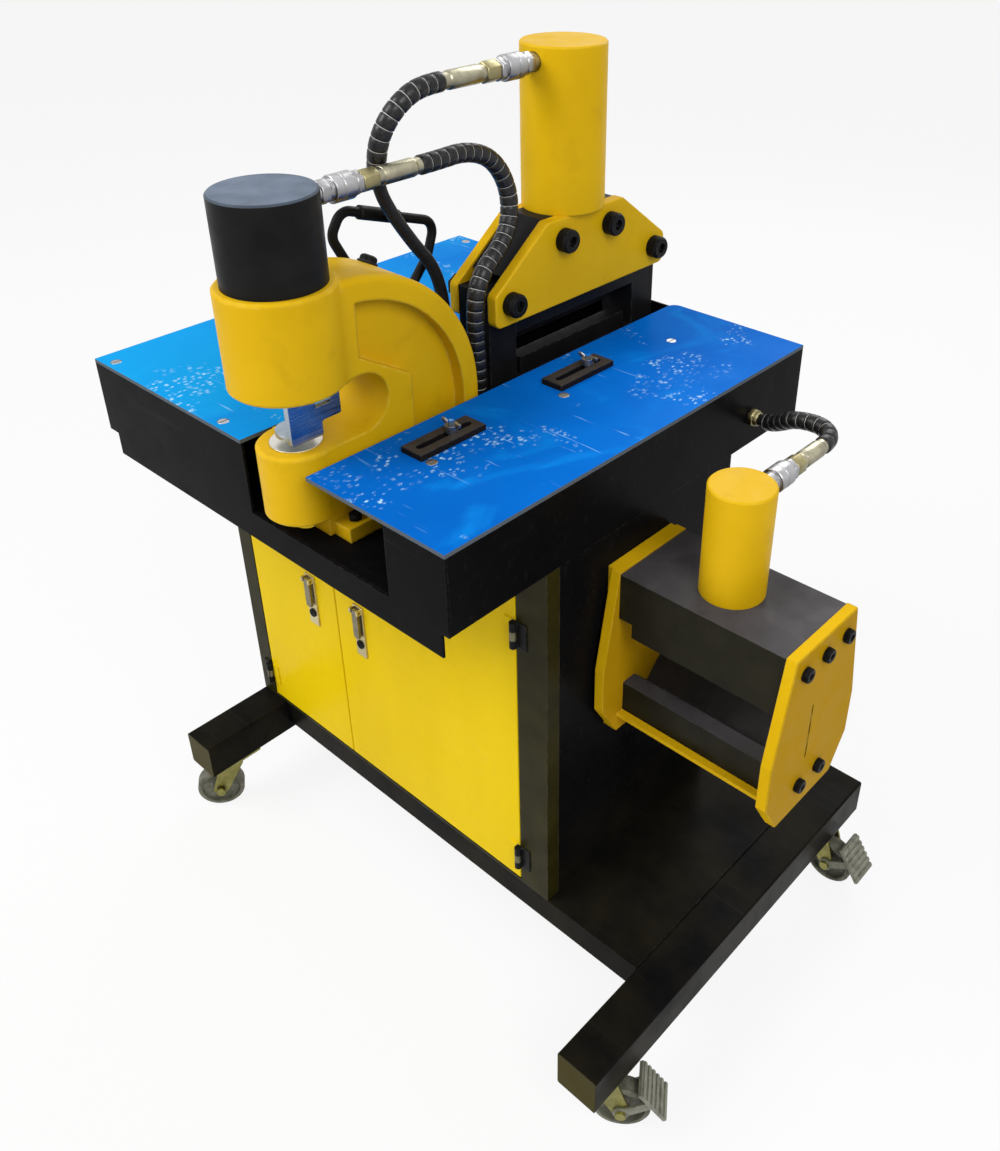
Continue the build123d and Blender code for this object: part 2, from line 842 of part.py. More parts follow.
# Punch frame: a casting with a round head, a curved back and a die boss in front of the table
web_left = unit_x - web_thickness / 2
web_right = unit_x + web_thickness / 2
throat_z = (head_bottom + boss_top) / 2
throat_height = head_bottom - boss_top
spigot_bottom = head_top - spigot_depth
die_bottom = boss_top + die_proud - die_height
lug_top = deck_top + lug_height
pocket_radius = frame_arc_radius - pocket_rim
blend_x = web_thickness / 2 + head_blend
blend_y = sqrt((head_radius + head_blend) ** 2 - blend_x**2)
pocket_front = punch_y + blend_y + pocket_margin
head_touch = Vector(blend_x, blend_y) * (head_radius / (head_radius + head_blend))
blend_heading = (head_touch - Vector(blend_x, blend_y)).normalized() - Vector(1, 0)
blend_middle = Vector(blend_x, blend_y) + blend_heading.normalized() * head_blend
with BuildPart() as punch_frame:
    with BuildSketch(Plane.YZ.offset(web_left)):
        with BuildLine():
            top_line = Line((punch_y, arc_z + frame_arc_radius), (arc_y, arc_z + frame_arc_radius))
            back_arc = RadiusArc(top_line @ 1, (frame_back, arc_z), frame_arc_radius)
            Polyline(back_arc @ 1, (frame_back, deck_top), (punch_y, deck_top), top_line @ 0)
        make_face()
        with Locations((punch_y + throat_reach, throat_z)):
            Circle(throat_height / 2, mode=Mode.SUBTRACT)
            Rectangle(throat_reach, throat_height, align=(Align.MAX, Align.CENTER), mode=Mode.SUBTRACT)
    extrude(amount=web_thickness)
    fillet(punch_frame.edges().filter_by(GeomType.CIRCLE).group_by(SortBy.RADIUS)[-1], casting_radius)
    for face, inward in ((web_left, 1), (web_right, -1)):
        with BuildSketch(Plane.YZ.offset(face)):
            with Locations((arc_y, arc_z)):
                Circle(pocket_radius)
                Rectangle(2 * pocket_radius, arc_z - lug_top, align=(Align.CENTER, Align.MAX))
            with BuildLine():
                Polyline(
                    (pocket_front, arc_z + pocket_radius),
                    (pocket_front, table_height + jaw_top_front),
                    (punch_y + jaw_back, table_height + jaw_top_back),
                    (punch_y + jaw_back, lug_top),
                    (arc_y + pocket_radius, lug_top),
                    (arc_y + pocket_radius, arc_z + pocket_radius),
                    close=True,
                )
            make_face(mode=Mode.INTERSECT)
        extrude(amount=inward * pocket_depth, mode=Mode.SUBTRACT)
    eased_upright(unit_x, punch_y, (head_bottom, head_top), head_radius, 2 * edge_chamfer)
    eased_upright(unit_x, punch_y, (boss_bottom, boss_top), boss_radius, 2 * edge_chamfer)
    upright(unit_x, punch_y, (boss_bottom - slug_boss_length, boss_bottom), slug_boss_radius)
    for side in (-1, 1):
        with BuildSketch(Plane.XY.offset(head_bottom)):
            with BuildLine():
                touch, corner, web_touch = [
                    (unit_x + side * x, punch_y + y)
                    for x, y in (
                        (head_touch.X, head_touch.Y),
                        (blend_middle.X, blend_middle.Y),
                        (web_thickness / 2, blend_y),
                    )
                ]
                ThreePointArc(touch, corner, web_touch)
                Polyline(web_touch, (unit_x, punch_y + blend_y), (unit_x, punch_y), touch)
            make_face()
        extrude(amount=arc_z + frame_arc_radius - casting_radius - head_bottom)
        lug_x = sorted((unit_x + side * web_thickness / 2, unit_x + side * (web_thickness / 2 + lug_width)))
        block(lug_x, (lug_y, lug_y + lug_length), (deck_top, lug_top))
    for lug_screw in lug_screws:
        upright(*lug_screw, (deck_top, lug_top), lug_screw_radius + fit_clearance, Mode.SUBTRACT)
    upright(unit_x, punch_y, (spigot_bottom, head_top), spigot_radius + fit_clearance, Mode.SUBTRACT)
    rod_bore = punch_rod_radius + running_clearance
    upright(unit_x, punch_y, (head_bottom, spigot_bottom), rod_bore, Mode.SUBTRACT)
    upright(unit_x, punch_y, (die_bottom, boss_top), die_radius + fit_clearance, Mode.SUBTRACT)
    upright(unit_x, punch_y, (deck_top, die_bottom), slug_hole_radius, Mode.SUBTRACT)
keep(punch_frame, "punch_frame")

with BuildPart() as punch_cylinder:
    upright(unit_x, punch_y, (head_top, cap_top), cap_radius)
    chamfer(punch_cylinder.edges().group_by(Axis.Z)[-1], cap_chamfer)
    upright(unit_x, punch_y, (spigot_bottom, head_top), spigot_radius)
    upright(unit_x, punch_y, (spigot_bottom, cap_top - punch_bore_top), punch_bore_radius, Mode.SUBTRACT)
    seat_y = (punch_seat[1], punch_y + cap_radius)
    along_y(unit_x, seat_y, punch_seat[2], seat_radius, Mode.SUBTRACT)
    along_y(unit_x, (punch_y, punch_seat[1]), punch_seat[2], port_radius + fit_clearance, Mode.SUBTRACT)
keep(punch_cylinder, "punch_cylinder")

piston_top = cap_top - punch_bore_top - 2 * port_radius - punch_port_drop / 2
rod_bottom = head_bottom - punch_rod_exposed
with BuildPart() as punch_ram:
    upright(unit_x, punch_y, (piston_top - piston_length, piston_top), punch_bore_radius - running_clearance)
    upright(unit_x, punch_y, (rod_bottom, piston_top), punch_rod_radius)
    upright(unit_x, punch_y, (boss_top + punch_lift, rod_bottom), punch_radius)
keep(punch_ram, "punch_ram")

stripper_bottom = boss_top + stripper_gap
cheek_left = unit_x + punch_rod_radius + stripper_clearance
cheek_x = (cheek_left, cheek_left + stripper_thickness)
arm_bottom = head_bottom - stripper_arm_height
with BuildPart() as punch_stripper:
    with BuildSketch(Plane.YZ.offset(cheek_left)) as cheek:
        with BuildLine():
            Polyline(
                (punch_y - stripper_front, stripper_bottom),
                (punch_y + stripper_back, stripper_bottom),
                (punch_y + stripper_back, arm_bottom),
                (punch_y + stripper_arm_back, arm_bottom),
                (punch_y + stripper_arm_back, head_bottom),
                (punch_y - stripper_front, head_bottom),
                close=True,
            )
        make_face()
        fillet(cheek.vertices(), stripper_corner)
    extrude(amount=stripper_thickness)
    window_y = punch_y + window_start
    window_z = head_bottom - window_drop
    block(cheek_x, (window_y, window_y + window_length), (window_z - window_height, window_z), Mode.SUBTRACT)
    foot_z = (stripper_bottom, stripper_bottom + stripper_foot)
    upright(unit_x, punch_y, foot_z, stripper_radius)
    block((unit_x, cheek_left), middle(punch_y, stripper_radius), foot_z)
    upright(unit_x, punch_y, foot_z, punch_radius + die_clearance, Mode.SUBTRACT)
keep(punch_stripper, "punch_stripper")

with BuildPart() as punch_die:
    die_z = (die_bottom, die_bottom + die_height)
    upright(unit_x, punch_y, die_z, die_radius)
    upright(unit_x, punch_y, die_z, punch_radius + die_clearance, Mode.SUBTRACT)
keep(punch_die, "punch_die")

# Carry handle: a bent rod with a thicker grip, on two feet on the rim of the frame
handle_plane = Plane.YZ.offset(web_left - handle_offset)
rim_radius = frame_arc_radius - pocket_rim / 2
handle_feet = [
    (arc_y + rim_radius * cos(radians(angle)), arc_z + rim_radius * sin(radians(angle)))
    for angle in (handle_front_angle, handle_rear_angle)
]
handle_bends = [
    (arc_y + radius * cos(radians(angle)), arc_z + radius * sin(radians(angle)))
    for angle, radius in (
        (72, frame_arc_radius + 0.18 * handle_reach),
        (70, frame_arc_radius + 0.5 * handle_reach),
        (39, frame_arc_radius + 0.96 * handle_reach),
        (34, frame_arc_radius + 0.6 * handle_reach),
    )
]
with BuildPart() as carry_handle:
    with BuildLine(handle_plane) as handle_line:
        FilletPolyline(handle_feet[0], *handle_bends, handle_feet[1], radius=handle_bend_radius)
    with BuildSketch(Plane(handle_line.line @ 0, z_dir=handle_line.line % 0)):
        Circle(handle_rod_radius)
    sweep()
    grip_run = [handle_plane.from_local_coords(bend) for bend in handle_bends[1:3]]
    grip_heading = Vector(*grip_run[1]) - Vector(*grip_run[0])
    grip_start = Vector(*grip_run[0]) + grip_heading * grip_setback
    with BuildSketch(Plane(grip_start, z_dir=grip_heading)):
        Circle(handle_grip_radius)
    extrude(amount=handle_grip_length)
    for foot_y, foot_z in handle_feet:
        foot_end = web_left - handle_offset - handle_rod_radius - handle_foot_cap
        along_x((foot_end, web_left), foot_y, foot_z, handle_foot_radius)
keep(carry_handle, "carry_handle")

# Cutter: two bevelled plates hold the bed, the head block and the cylinder
core_left = unit_x - cutter_core / 2
core_right = unit_x + cutter_core / 2
plate_bottom = table_height + cutter_plate_bottom
shoulder_z = table_height + cutter_shoulder
bed_top = table_height + lower_blade_proud - blade_height
cutter_bolts = [(cutter_y + side * outer_bolt_y, table_height + outer_bolt_z) for side in (-1, 1)]
cutter_bolts += [(cutter_y + side * inner_bolt_y, table_height + inner_bolt_z) for side in (-1, 1)]
core_x = (core_left, core_right)

with BuildPart() as cutter_side_plates:
    for plate_x in (core_left - cutter_plate_thickness, core_right):
        with BuildSketch(Plane.YZ.offset(plate_x)):
            with BuildLine():
                Polyline(
                    (cutter_y - cutter_half_width, plate_bottom),
                    (cutter_y + cutter_half_width, plate_bottom),
                    (cutter_y + cutter_half_width, shoulder_z),
                    (cutter_y + cutter_top_half_width, cutter_top),
                    (cutter_y - cutter_top_half_width, cutter_top),
                    (cutter_y - cutter_half_width, shoulder_z),
                    close=True,
                )
            plate_face = make_face()
            fillet(plate_face.vertices(), cutter_corner)
            with Locations(*cutter_bolts):
                Circle(cutter_screw_radius + fit_clearance, mode=Mode.SUBTRACT)
        extrude(amount=cutter_plate_thickness)
    for outer_face in (0, -1):
        outline = cutter_side_plates.edges().group_by(Axis.X)[outer_face].filter_by(GeomType.LINE)
        chamfer(outline, edge_chamfer)
keep(cutter_side_plates, "cutter_side_plates")

with BuildPart() as cutter_bed:
    block(core_x, middle(cutter_y, 2 * post_outside), (deck_top, bed_top))
    for side in (-1, 1):
        post_y = sorted((cutter_y + side * post_inside, cutter_y + side * post_outside))
        block(core_x, post_y, (bed_top, shoulder_z))
    for bolt in cutter_bolts[:2]:
        along_x(core_x, *bolt, cutter_screw_radius + fit_clearance, Mode.SUBTRACT)
keep(cutter_bed, "cutter_bed")

head_block_z = table_height + head_block_bottom
slant = (cutter_half_width - cutter_top_half_width) / (cutter_top - shoulder_z)
head_block_half = cutter_half_width - slant * (head_block_z - shoulder_z) - head_block_inset
with BuildPart() as cutter_head_block:
    with BuildSketch(Plane.YZ.offset(core_left)):
        with BuildLine():
            Polyline(
                (cutter_y - head_block_half, head_block_z),
                (cutter_y + head_block_half, head_block_z),
                (cutter_y + cutter_top_half_width - head_block_inset, cutter_top),
                (cutter_y - cutter_top_half_width + head_block_inset, cutter_top),
                close=True,
            )
        make_face()
        with Locations(*cutter_bolts[2:]):
            Circle(cutter_screw_radius + fit_clearance, mode=Mode.SUBTRACT)
    extrude(amount=cutter_core)
    rod_hole = cutter_rod_radius + running_clearance
    upright(unit_x, cutter_y, (head_block_z, cutter_top), rod_hole, Mode.SUBTRACT)
keep(cutter_head_block, "cutter_head_block")

with BuildPart() as cutter_cylinder:
    upright(unit_x, cutter_y, (cutter_top, cutter_cylinder_top), cutter_cylinder_radius)
    chamfer(cutter_cylinder.edges().group_by(Axis.Z)[-1], cap_chamfer)
    bore_z = (cutter_top + cutter_bore_bottom, cutter_cylinder_top - cutter_bore_top)
    upright(unit_x, cutter_y, bore_z, cutter_bore_radius, Mode.SUBTRACT)
    upright(unit_x, cutter_y, (cutter_top, bore_z[0]), rod_hole, Mode.SUBTRACT)
    seat_y = (cutter_y - cutter_cylinder_radius, cutter_seat[1])
    along_y(unit_x, seat_y, cutter_seat[2], seat_radius, Mode.SUBTRACT)
    along_y(unit_x, (cutter_seat[1], cutter_y), cutter_seat[2], port_radius + fit_clearance, Mode.SUBTRACT)
keep(cutter_cylinder, "cutter_cylinder")

slide_top = head_block_z - slide_top_gap
slide_bottom = slide_top - slide_height
with BuildPart() as cutter_ram:
    slide_y = middle(cutter_y, 2 * (post_inside - slide_play))
    block(middle(unit_x, cutter_core - 2 * slide_play), slide_y, (slide_bottom, slide_top))
    cutter_piston_top = cutter_seat[2] - 2 * port_radius
    upright(unit_x, cutter_y, (slide_top, cutter_piston_top), cutter_rod_radius)
    piston_z = (cutter_piston_top - piston_length, cutter_piston_top)
    upright(unit_x, cutter_y, piston_z, cutter_bore_radius - running_clearance)
keep(cutter_ram, "cutter_ram")

blade_y = middle(cutter_y, 2 * blade_half_length)
with BuildPart() as cutter_upper_blade:
    blade_z = (slide_bottom - blade_height, slide_bottom)
    block((unit_x - blade_thickness - blade_play, unit_x - blade_play), blade_y, blade_z)
keep(cutter_upper_blade, "cutter_upper_blade")

with BuildPart() as cutter_lower_blade:
    block((unit_x, unit_x + blade_thickness), blade_y, (bed_top, bed_top + blade_height))
keep(cutter_lower_blade, "cutter_lower_blade")

# Bender: hung on the right-hand wall of the cabinet
top_screw_z = bender_top - top_screw_drop
low_screw_z = tie_bottom + tie_plate_thickness + low_screw_rise
top_screws = [(bender_y + i * top_screw_pitch, top_screw_z) for i in (-1, 0, 1)]
low_screws = [(bender_y + side * low_screw_pitch / 2, low_screw_z) for side in (-1, 1)]
with BuildPart() as bender_frame:
    for plate_x in (inner_plate_x, gap_right):
        with BuildSketch(Plane.YZ.offset(plate_x)):
            with BuildLine():
                Polyline(
                    (bender_y - bender_top_half, bender_top),
                    (bender_y - bender_half, bender_widest_top),
                    (bender_y - bender_half, bender_widest_bottom),
                    (bender_y - bender_bottom_half, bender_bottom),
                    (bender_y + bender_bottom_half, bender_bottom),
                    (bender_y + bender_half, bender_widest_bottom),
                    (bender_y + bender_half, bender_widest_top),
                    (bender_y + bender_top_half, bender_top),
                    close=True,
                )
            make_face()
        extrude(amount=bender_plate)
    chamfer(bender_frame.edges().group_by(Axis.X)[-1], edge_chamfer)
    pad_y = middle(bender_y, 2 * bender_bottom_half)
    block((table_right, inner_plate_x), pad_y, (bender_bottom, bender_top))
    block((gap_left, gap_right), pad_y, (tie_bottom, vee_bottom))
    for screw in top_screws + low_screws:
        along_x((gap_right, outer_face_x), *screw, bender_screw_radius + fit_clearance, Mode.SUBTRACT)
    groove_z = bender_bottom + gauge_groove_rise
    block(
        (outer_face_x - gauge_groove_depth, outer_face_x),
        middle(bender_y + gauge_groove_y, gauge_groove_width),
        (groove_z, groove_z + gauge_groove_length),
        Mode.SUBTRACT,
    )
keep(bender_frame, "bender_frame")

nose_tip = block_bottom - ram_nose_drop
ram_top = nose_tip + ram_height
block_y = middle(bender_y, 2 * bender_top_half)
screw_tip = outer_face_x - bender_screw_length
tapped_x = (screw_tip - face_gap, gap_right)
with BuildPart() as bender_head_block:
    block((gap_left + bender_spacer, gap_right), block_y, (block_bottom, block_top))
    block((gap_left, gap_left + bender_spacer), block_y, (block_bottom + bender_spacer_rise, block_top))
    slot_x = middle(bender_x, ram_length + 2 * ram_play)
    slot_y = middle(bender_y, 2 * (ram_half_depth + ram_play))
    block(slot_x, slot_y, (block_bottom, ram_top + slide_top_gap), Mode.SUBTRACT)
    bender_rod_hole = bender_rod_radius + running_clearance
    upright(bender_x, bender_y, (ram_top, block_top), bender_rod_hole, Mode.SUBTRACT)
    for screw in top_screws:
        along_x(tapped_x, *screw, bender_screw_radius + fit_clearance, Mode.SUBTRACT)
keep(bender_head_block, "bender_head_block")

with BuildPart() as bender_cylinder:
    upright(bender_x, bender_y, (block_top, bender_cylinder_top), bender_cylinder_radius)
    chamfer(bender_cylinder.edges().group_by(Axis.Z)[-1], cap_chamfer)
    bore_z = (block_top + bender_bore_bottom, bender_cylinder_top - bender_bore_top)
    upright(bender_x, bender_y, bore_z, bender_bore_radius, Mode.SUBTRACT)
    upright(bender_x, bender_y, (block_top, bore_z[0]), bender_rod_hole, Mode.SUBTRACT)
    seat_y = (bender_seat[1], bender_y + bender_cylinder_radius)
    along_y(bender_x, seat_y, bender_seat[2], seat_radius, Mode.SUBTRACT)
    along_y(bender_x, (bender_y, bender_seat[1]), bender_seat[2], port_radius + fit_clearance, Mode.SUBTRACT)
keep(bender_cylinder, "bender_cylinder")

with BuildPart() as bender_ram:
    with BuildSketch(Plane.YZ.offset(bender_x - ram_length / 2)):
        with BuildLine():
            Polyline(
                (bender_y, nose_tip),
                (bender_y + ram_half_depth, nose_tip + ram_half_depth),
                (bender_y + ram_half_depth, ram_top),
                (bender_y - ram_half_depth, ram_top),
                (bender_y - ram_half_depth, nose_tip + ram_half_depth),
                close=True,
            )
        make_face()
    extrude(amount=ram_length)
    bender_piston_top = bender_seat[2] - 2 * port_radius
    upright(bender_x, bender_y, (ram_top, bender_piston_top), bender_rod_radius)
    piston_z = (bender_piston_top - bender_piston_length, bender_piston_top)
    upright(bender_x, bender_y, piston_z, bender_bore_radius - running_clearance)
keep(bender_ram, "bender_ram")

with BuildPart() as bender_die:
    with BuildSketch(Plane.YZ.offset(gap_left)):
        with BuildLine():
            Polyline(
                (bender_y - die_half_depth, vee_bottom),
                (bender_y + die_half_depth, vee_bottom),
                (bender_y + die_half_depth, vee_top),
                (bender_y + vee_half_width, vee_top),
                (bender_y, vee_top - vee_half_width),
                (bender_y - vee_half_width, vee_top),
                (bender_y - die_half_depth, vee_top),
                close=True,
            )
        make_face()
    extrude(amount=bender_gap)
    for screw in low_screws:
        along_x(tapped_x, *screw, bender_screw_radius + fit_clearance, Mode.SUBTRACT)
keep(bender_die, "bender_die")

# Black cap screws of the three units
with BuildPart() as cap_screws:
    near_face = core_right + cutter_plate_thickness
    far_face = core_left - cutter_plate_thickness
    for bolt in cutter_bolts:
        along_x((far_face - cutter_screw_head, near_face + cutter_screw_head), *bolt, cutter_screw_radius)
        along_x((near_face, near_face + cutter_screw_head), *bolt, cutter_screw_head_radius)
        along_x((far_face - cutter_screw_head, far_face), *bolt, cutter_screw_head_radius)
        socket_x = (near_face + cutter_screw_head - socket_depth, near_face + cutter_screw_head)
        along_x(socket_x, *bolt, socket_radius, Mode.SUBTRACT)
    for screw in top_screws + low_screws:
        along_x((screw_tip, outer_face_x), *screw, bender_screw_radius)
        along_x((outer_face_x, outer_face_x + bender_screw_head), *screw, bender_screw_head_radius)
        socket_x = (outer_face_x + bender_screw_head - socket_depth, outer_face_x + bender_screw_head)
        along_x(socket_x, *screw, socket_radius, Mode.SUBTRACT)
    for lug_screw in lug_screws:
        upright(*lug_screw, (apron_bottom, lug_top), lug_screw_radius)
        upright(*lug_screw, (lug_top, lug_top + lug_screw_head), lug_screw_head_radius)
keep(cap_screws, "cap_screws")

# Couplers and hose fittings stand on the ports of the three cylinders
seats = (
    (punch_seat, 1, fitting_length),
    (cutter_seat, -1, fitting_length),
    (bender_seat, 1, short_fitting_length),
)


def turned(seat, way, start, stages):
    """Stack round stages, each a radius and a length, along Y from a port seat."""
    reach = start
    for radius, length in stages:
        ends = sorted((seat[1] + way * reach, seat[1] + way * (reach + length)))
        along_y(seat[0], ends, seat[2], radius)
        reach = reach + length


coupler_stages = (
    (port_radius, port_depth),
    (coupler_nose_radius, coupler_length * 0.14),
    (coupler_hex_radius, coupler_length * 0.2),
    (coupler_nose_radius, coupler_length * 0.06),
    (coupler_collar_radius, coupler_length * 0.44),
    (coupler_hex_radius, coupler_length * 0.16),
)
fitting_shares = (
    (fitting_hex_radius, 0.26),
    (neck_radius, 0.08),
    (ferrule_radius, 0.56),
    (neck_radius, 0.1),
)
with BuildPart() as hose_couplers:
    for seat, way, _ in seats:
        turned(seat, way, -port_depth, coupler_stages)
keep(hose_couplers, "hose_couplers")

with BuildPart() as hose_fittings:
    for seat, way, length in seats:
        turned(seat, way, coupler_length, [(radius, share * length) for radius, share in fitting_shares])
    port_top = deck_top + deck_port_height
    for port in deck_ports:
        upright(*port, (deck_top - deck_thickness - manifold_port_depth, deck_top), deck_port_radius)
        upright(*port, (deck_top, deck_top + deck_port_height * 0.6), fitting_hex_radius)
        upright(*port, (deck_top + deck_port_height * 0.6, port_top), neck_radius)
    port_end = table_right + apron_port_length
    along_x((table_right - 3 * sheet, table_right), apron_port_y, apron_port_z, deck_port_radius)
    hex_end = table_right + apron_port_length * 0.6
    along_x((table_right, hex_end), apron_port_y, apron_port_z, fitting_hex_radius)
    along_x((hex_end, port_end), apron_port_y, apron_port_z, neck_radius)
keep(hose_fittings, "hose_fittings")

# Hoses: each route starts at its fitting and ends in a port of the table
def from_seat(seat, way, length, steps):
    """Route points counted in steps from the end of a fitting."""
    x, y, z = seat[0], seat[1] + way * (coupler_length + length), seat[2]
    return [(x + route_step * i, y + way * route_step * j, z + route_step * k) for i, j, k in steps]


def from_port(port, steps):
    """Route points counted in steps from a port of the table."""
    return [tuple(place + route_step * step for place, step in zip(port, point)) for point in steps]


punch_route = from_seat(
    *seats[0],
    (
        (0, 0, 0),
        (0, 2.8, 0),
        (0, 6.9, 0.2),
        (0.1, 10.6, -0.9),
        (0.4, 12.8, -3.3),
        (0.7, 13.8, -6.5),
        (1.1, 13.2, -9.8),
        (1.6, 11, -12.1),
        (1.9, 8.2, -13.7),
        (2.2, 6.2, -15.9),
        (2.3, 5.6, -19.1),
    ),
)
punch_route += from_port((*deck_ports[0], port_top), ((0, -0.1, 12.9), (0.1, 0, 8.6), (0, 0, 4.3), (0, 0, 0)))
cutter_route = from_seat(
    *seats[1],
    (
        (0, 0, 0),
        (0, 2, 0),
        (-0.2, 4.5, -0.6),
        (-0.8, 6.8, -2.5),
        (-1.7, 8, -5.2),
        (-2.4, 8.1, -8.1),
        (-2.9, 7.5, -11.1),
        (-3.1, 6, -13.9),
        (-3.2, 4.1, -16.7),
        (-3.3, 2.1, -19.4),
    ),
)
cutter_route += from_port(
    (*deck_ports[1], port_top),
    (
        (0, -1.9, 22.2),
        (0, -0.7, 19.3),
        (0, -0.1, 15.9),
        (0, 0, 12.1),
        (0, -0.1, 8.1),
        (0, 0, 4),
        (0, 0, 0),
    ),
)
bender_route = from_seat(
    *seats[2],
    (
        (0, 0, 0),
        (0, 1.3, 0),
        (-0.6, 2.7, 0.2),
        (-1.9, 3.5, 0.4),
        (-3.7, 3.7, 0.4),
        (-6.3, 3.9, -0.2),
    ),
)
bender_route += from_port((port_end, apron_port_y, apron_port_z), ((3.7, -0.7, 1.2), (1.6, 0, 0), (0, 0, 0)))


def corner_radii(route):
    points = [Vector(*point) for point in route]
    radii = []
    for before, corner, after in zip(points, points[1:], points[2:]):
        turn = radians((corner - before).get_angle(after - corner))
        radii.append(0.45 * min((corner - before).length, (after - corner).length) / tan(turn / 2))
    return radii


def hose(name, route):
    """A plain tube along its route, checked against its section times its length."""
    radii = corner_radii(route)
    with BuildPart() as tube:
        with BuildLine() as line:
            FilletPolyline(*route, radius=radii)
        with BuildSketch(Plane(line.line @ 0, z_dir=line.line % 0)):
            Circle(hose_diameter / 2)
            Circle(hose_bore / 2, mode=Mode.SUBTRACT)
        sweep()
    path = line.wires()[0]
    section = pi * (hose_diameter**2 - hose_bore**2) / 4
    print(name, "radii", [round(radius) for radius in radii], "length", round(path.length))
    print(name, "volume", round(tube.part.volume), "section by length", round(section * path.length))
    keep(tube, name)
    return path


hose_lines = (
    (hose("punch_hose", punch_route), (1, 0, 0), punch_guard_ribs),
    (hose("cutter_hose", cutter_route), (1, 0, 0), cutter_guard_ribs),
    (hose("bender_hose", bender_route), (0, 0, 1), bender_guard_ribs),
)


def across(line, reach, steady):
    """Plane square to a hose line, at a length along it, with a steady local x."""
    point = line.position_at(reach, position_mode=PositionMode.LENGTH)
    heading = line.tangent_at(reach, position_mode=PositionMode.LENGTH)
    sideways = Vector(*steady) - heading * heading.dot(Vector(*steady))
    return Plane(origin=point, x_dir=sideways, z_dir=heading)


# Ribbed guards keep the hoses from kinking behind their fittings
rib_profile = (
    (0, guard_valley),
    (0.1, guard_radius),
    (0.5, guard_radius),
    (0.9, guard_radius),
    (1, guard_valley),
)
with BuildPart() as hose_guards:
    for line, steady, ribs in hose_lines:
        for rib in range(ribs):
            for share, radius in rib_profile:
                with BuildSketch(across(line, (rib + share * rib_share) * rib_pitch, steady)):
                    Circle(radius)
        loft(ruled=True)
        for rib in range(ribs):
            for share in (0, rib_share / 2, rib_share):
                with BuildSketch(across(line, (rib + share) * rib_pitch, steady)):
                    Circle(guard_bore)
        loft(ruled=True, mode=Mode.SUBTRACT)
keep(hose_guards, "hose_guards")

# Power unit inside the cabinet
tank_left = left_leg + cabinet_wall + tank_margin
tank_x = (tank_left, tank_left + tank_length)
tank_y = middle((cabinet_front + cabinet_back) / 2, tank_depth)
tank_top = leg_top + tank_height
tank_mid = (tank_left + tank_length / 2, (cabinet_front + cabinet_back) / 2)
with BuildPart() as oil_tank:
    block(tank_x, tank_y, (leg_top, tank_top))
    block(
        (tank_x[0] + sheet, tank_x[1] - sheet),
        (tank_y[0] + sheet, tank_y[1] - sheet),
        (leg_top + sheet, tank_top - tank_lid),
        Mode.SUBTRACT,
    )
    upright(*tank_mid, (tank_top - tank_lid, tank_top), pump_radius / 2, Mode.SUBTRACT)
keep(oil_tank, "oil_tank")

with BuildPart() as pump_motor:
    upright(*tank_mid, (tank_top, tank_top + pump_height), pump_radius)
    upright(*tank_mid, (tank_top + pump_height, tank_top + pump_height + motor_height), motor_radius)
keep(pump_motor, "pump_motor")

with BuildPart() as manifold:
    block(
        middle(unit_x, manifold_length),
        middle(deck_port_y, manifold_depth),
        (apron_bottom - manifold_height, apron_bottom),
    )
    for port in deck_ports:
        port_z = (apron_bottom - manifold_port_depth - face_gap, apron_bottom)
        upright(*port, port_z, deck_port_radius + fit_clearance, Mode.SUBTRACT)
keep(manifold, "manifold")
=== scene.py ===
"""Looks of a busbar machine on a wheeled cabinet.

Paints and blue film dress the frame; hoses, fittings, screws and locks are modelled here.
"""

import json
from math import atan2, cos, radians, sin

import bpy
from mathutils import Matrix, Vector


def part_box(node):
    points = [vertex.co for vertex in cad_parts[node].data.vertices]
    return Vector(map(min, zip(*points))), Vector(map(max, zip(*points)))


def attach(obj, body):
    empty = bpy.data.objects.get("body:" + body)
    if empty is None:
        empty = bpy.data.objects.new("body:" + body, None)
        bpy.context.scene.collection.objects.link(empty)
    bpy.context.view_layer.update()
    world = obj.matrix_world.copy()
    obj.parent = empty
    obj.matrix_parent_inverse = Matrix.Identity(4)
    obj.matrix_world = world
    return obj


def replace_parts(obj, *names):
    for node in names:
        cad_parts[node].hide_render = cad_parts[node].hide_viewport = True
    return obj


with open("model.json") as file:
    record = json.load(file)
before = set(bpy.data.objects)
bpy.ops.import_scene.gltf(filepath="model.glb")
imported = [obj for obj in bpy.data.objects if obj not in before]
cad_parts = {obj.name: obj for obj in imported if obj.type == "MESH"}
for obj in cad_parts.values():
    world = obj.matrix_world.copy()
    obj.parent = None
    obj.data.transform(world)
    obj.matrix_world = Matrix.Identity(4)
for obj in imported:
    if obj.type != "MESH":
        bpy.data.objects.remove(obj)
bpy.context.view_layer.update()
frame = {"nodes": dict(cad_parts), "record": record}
MM = 0.001
MACHINE = "machine"

# Camera fitted to the photo: place, turn in degrees, lens and shift
CAMERA_PLACE = (0.8754, -0.9065, 1.4458)
CAMERA_TURN = (58.89, -0.08, 41.94)
CAMERA_LENS = 39.83
CAMERA_SHIFT = (-0.0546, -0.0987)
SENSOR_WIDTH = 36

# Soft lamps: name, place, aim, width and power
LAMPS = (
    ("key_light", (-1.6, -2.6, 3.4), (0, 0, 0.7), 2.2, 102),
    ("side_light", (2.4, -1.0, 3.0), (0, 0, 0.7), 2.0, 54),
    ("back_light", (-0.8, 2.8, 2.8), (0, 0, 0.8), 2.0, 38),
)
WORLD_LIGHT = 0.45
FLOOR_SIZE = 60
FLOOR_GREY = (0.76, 0.76, 0.76, 1)
FLOOR_GLOW = 0.87

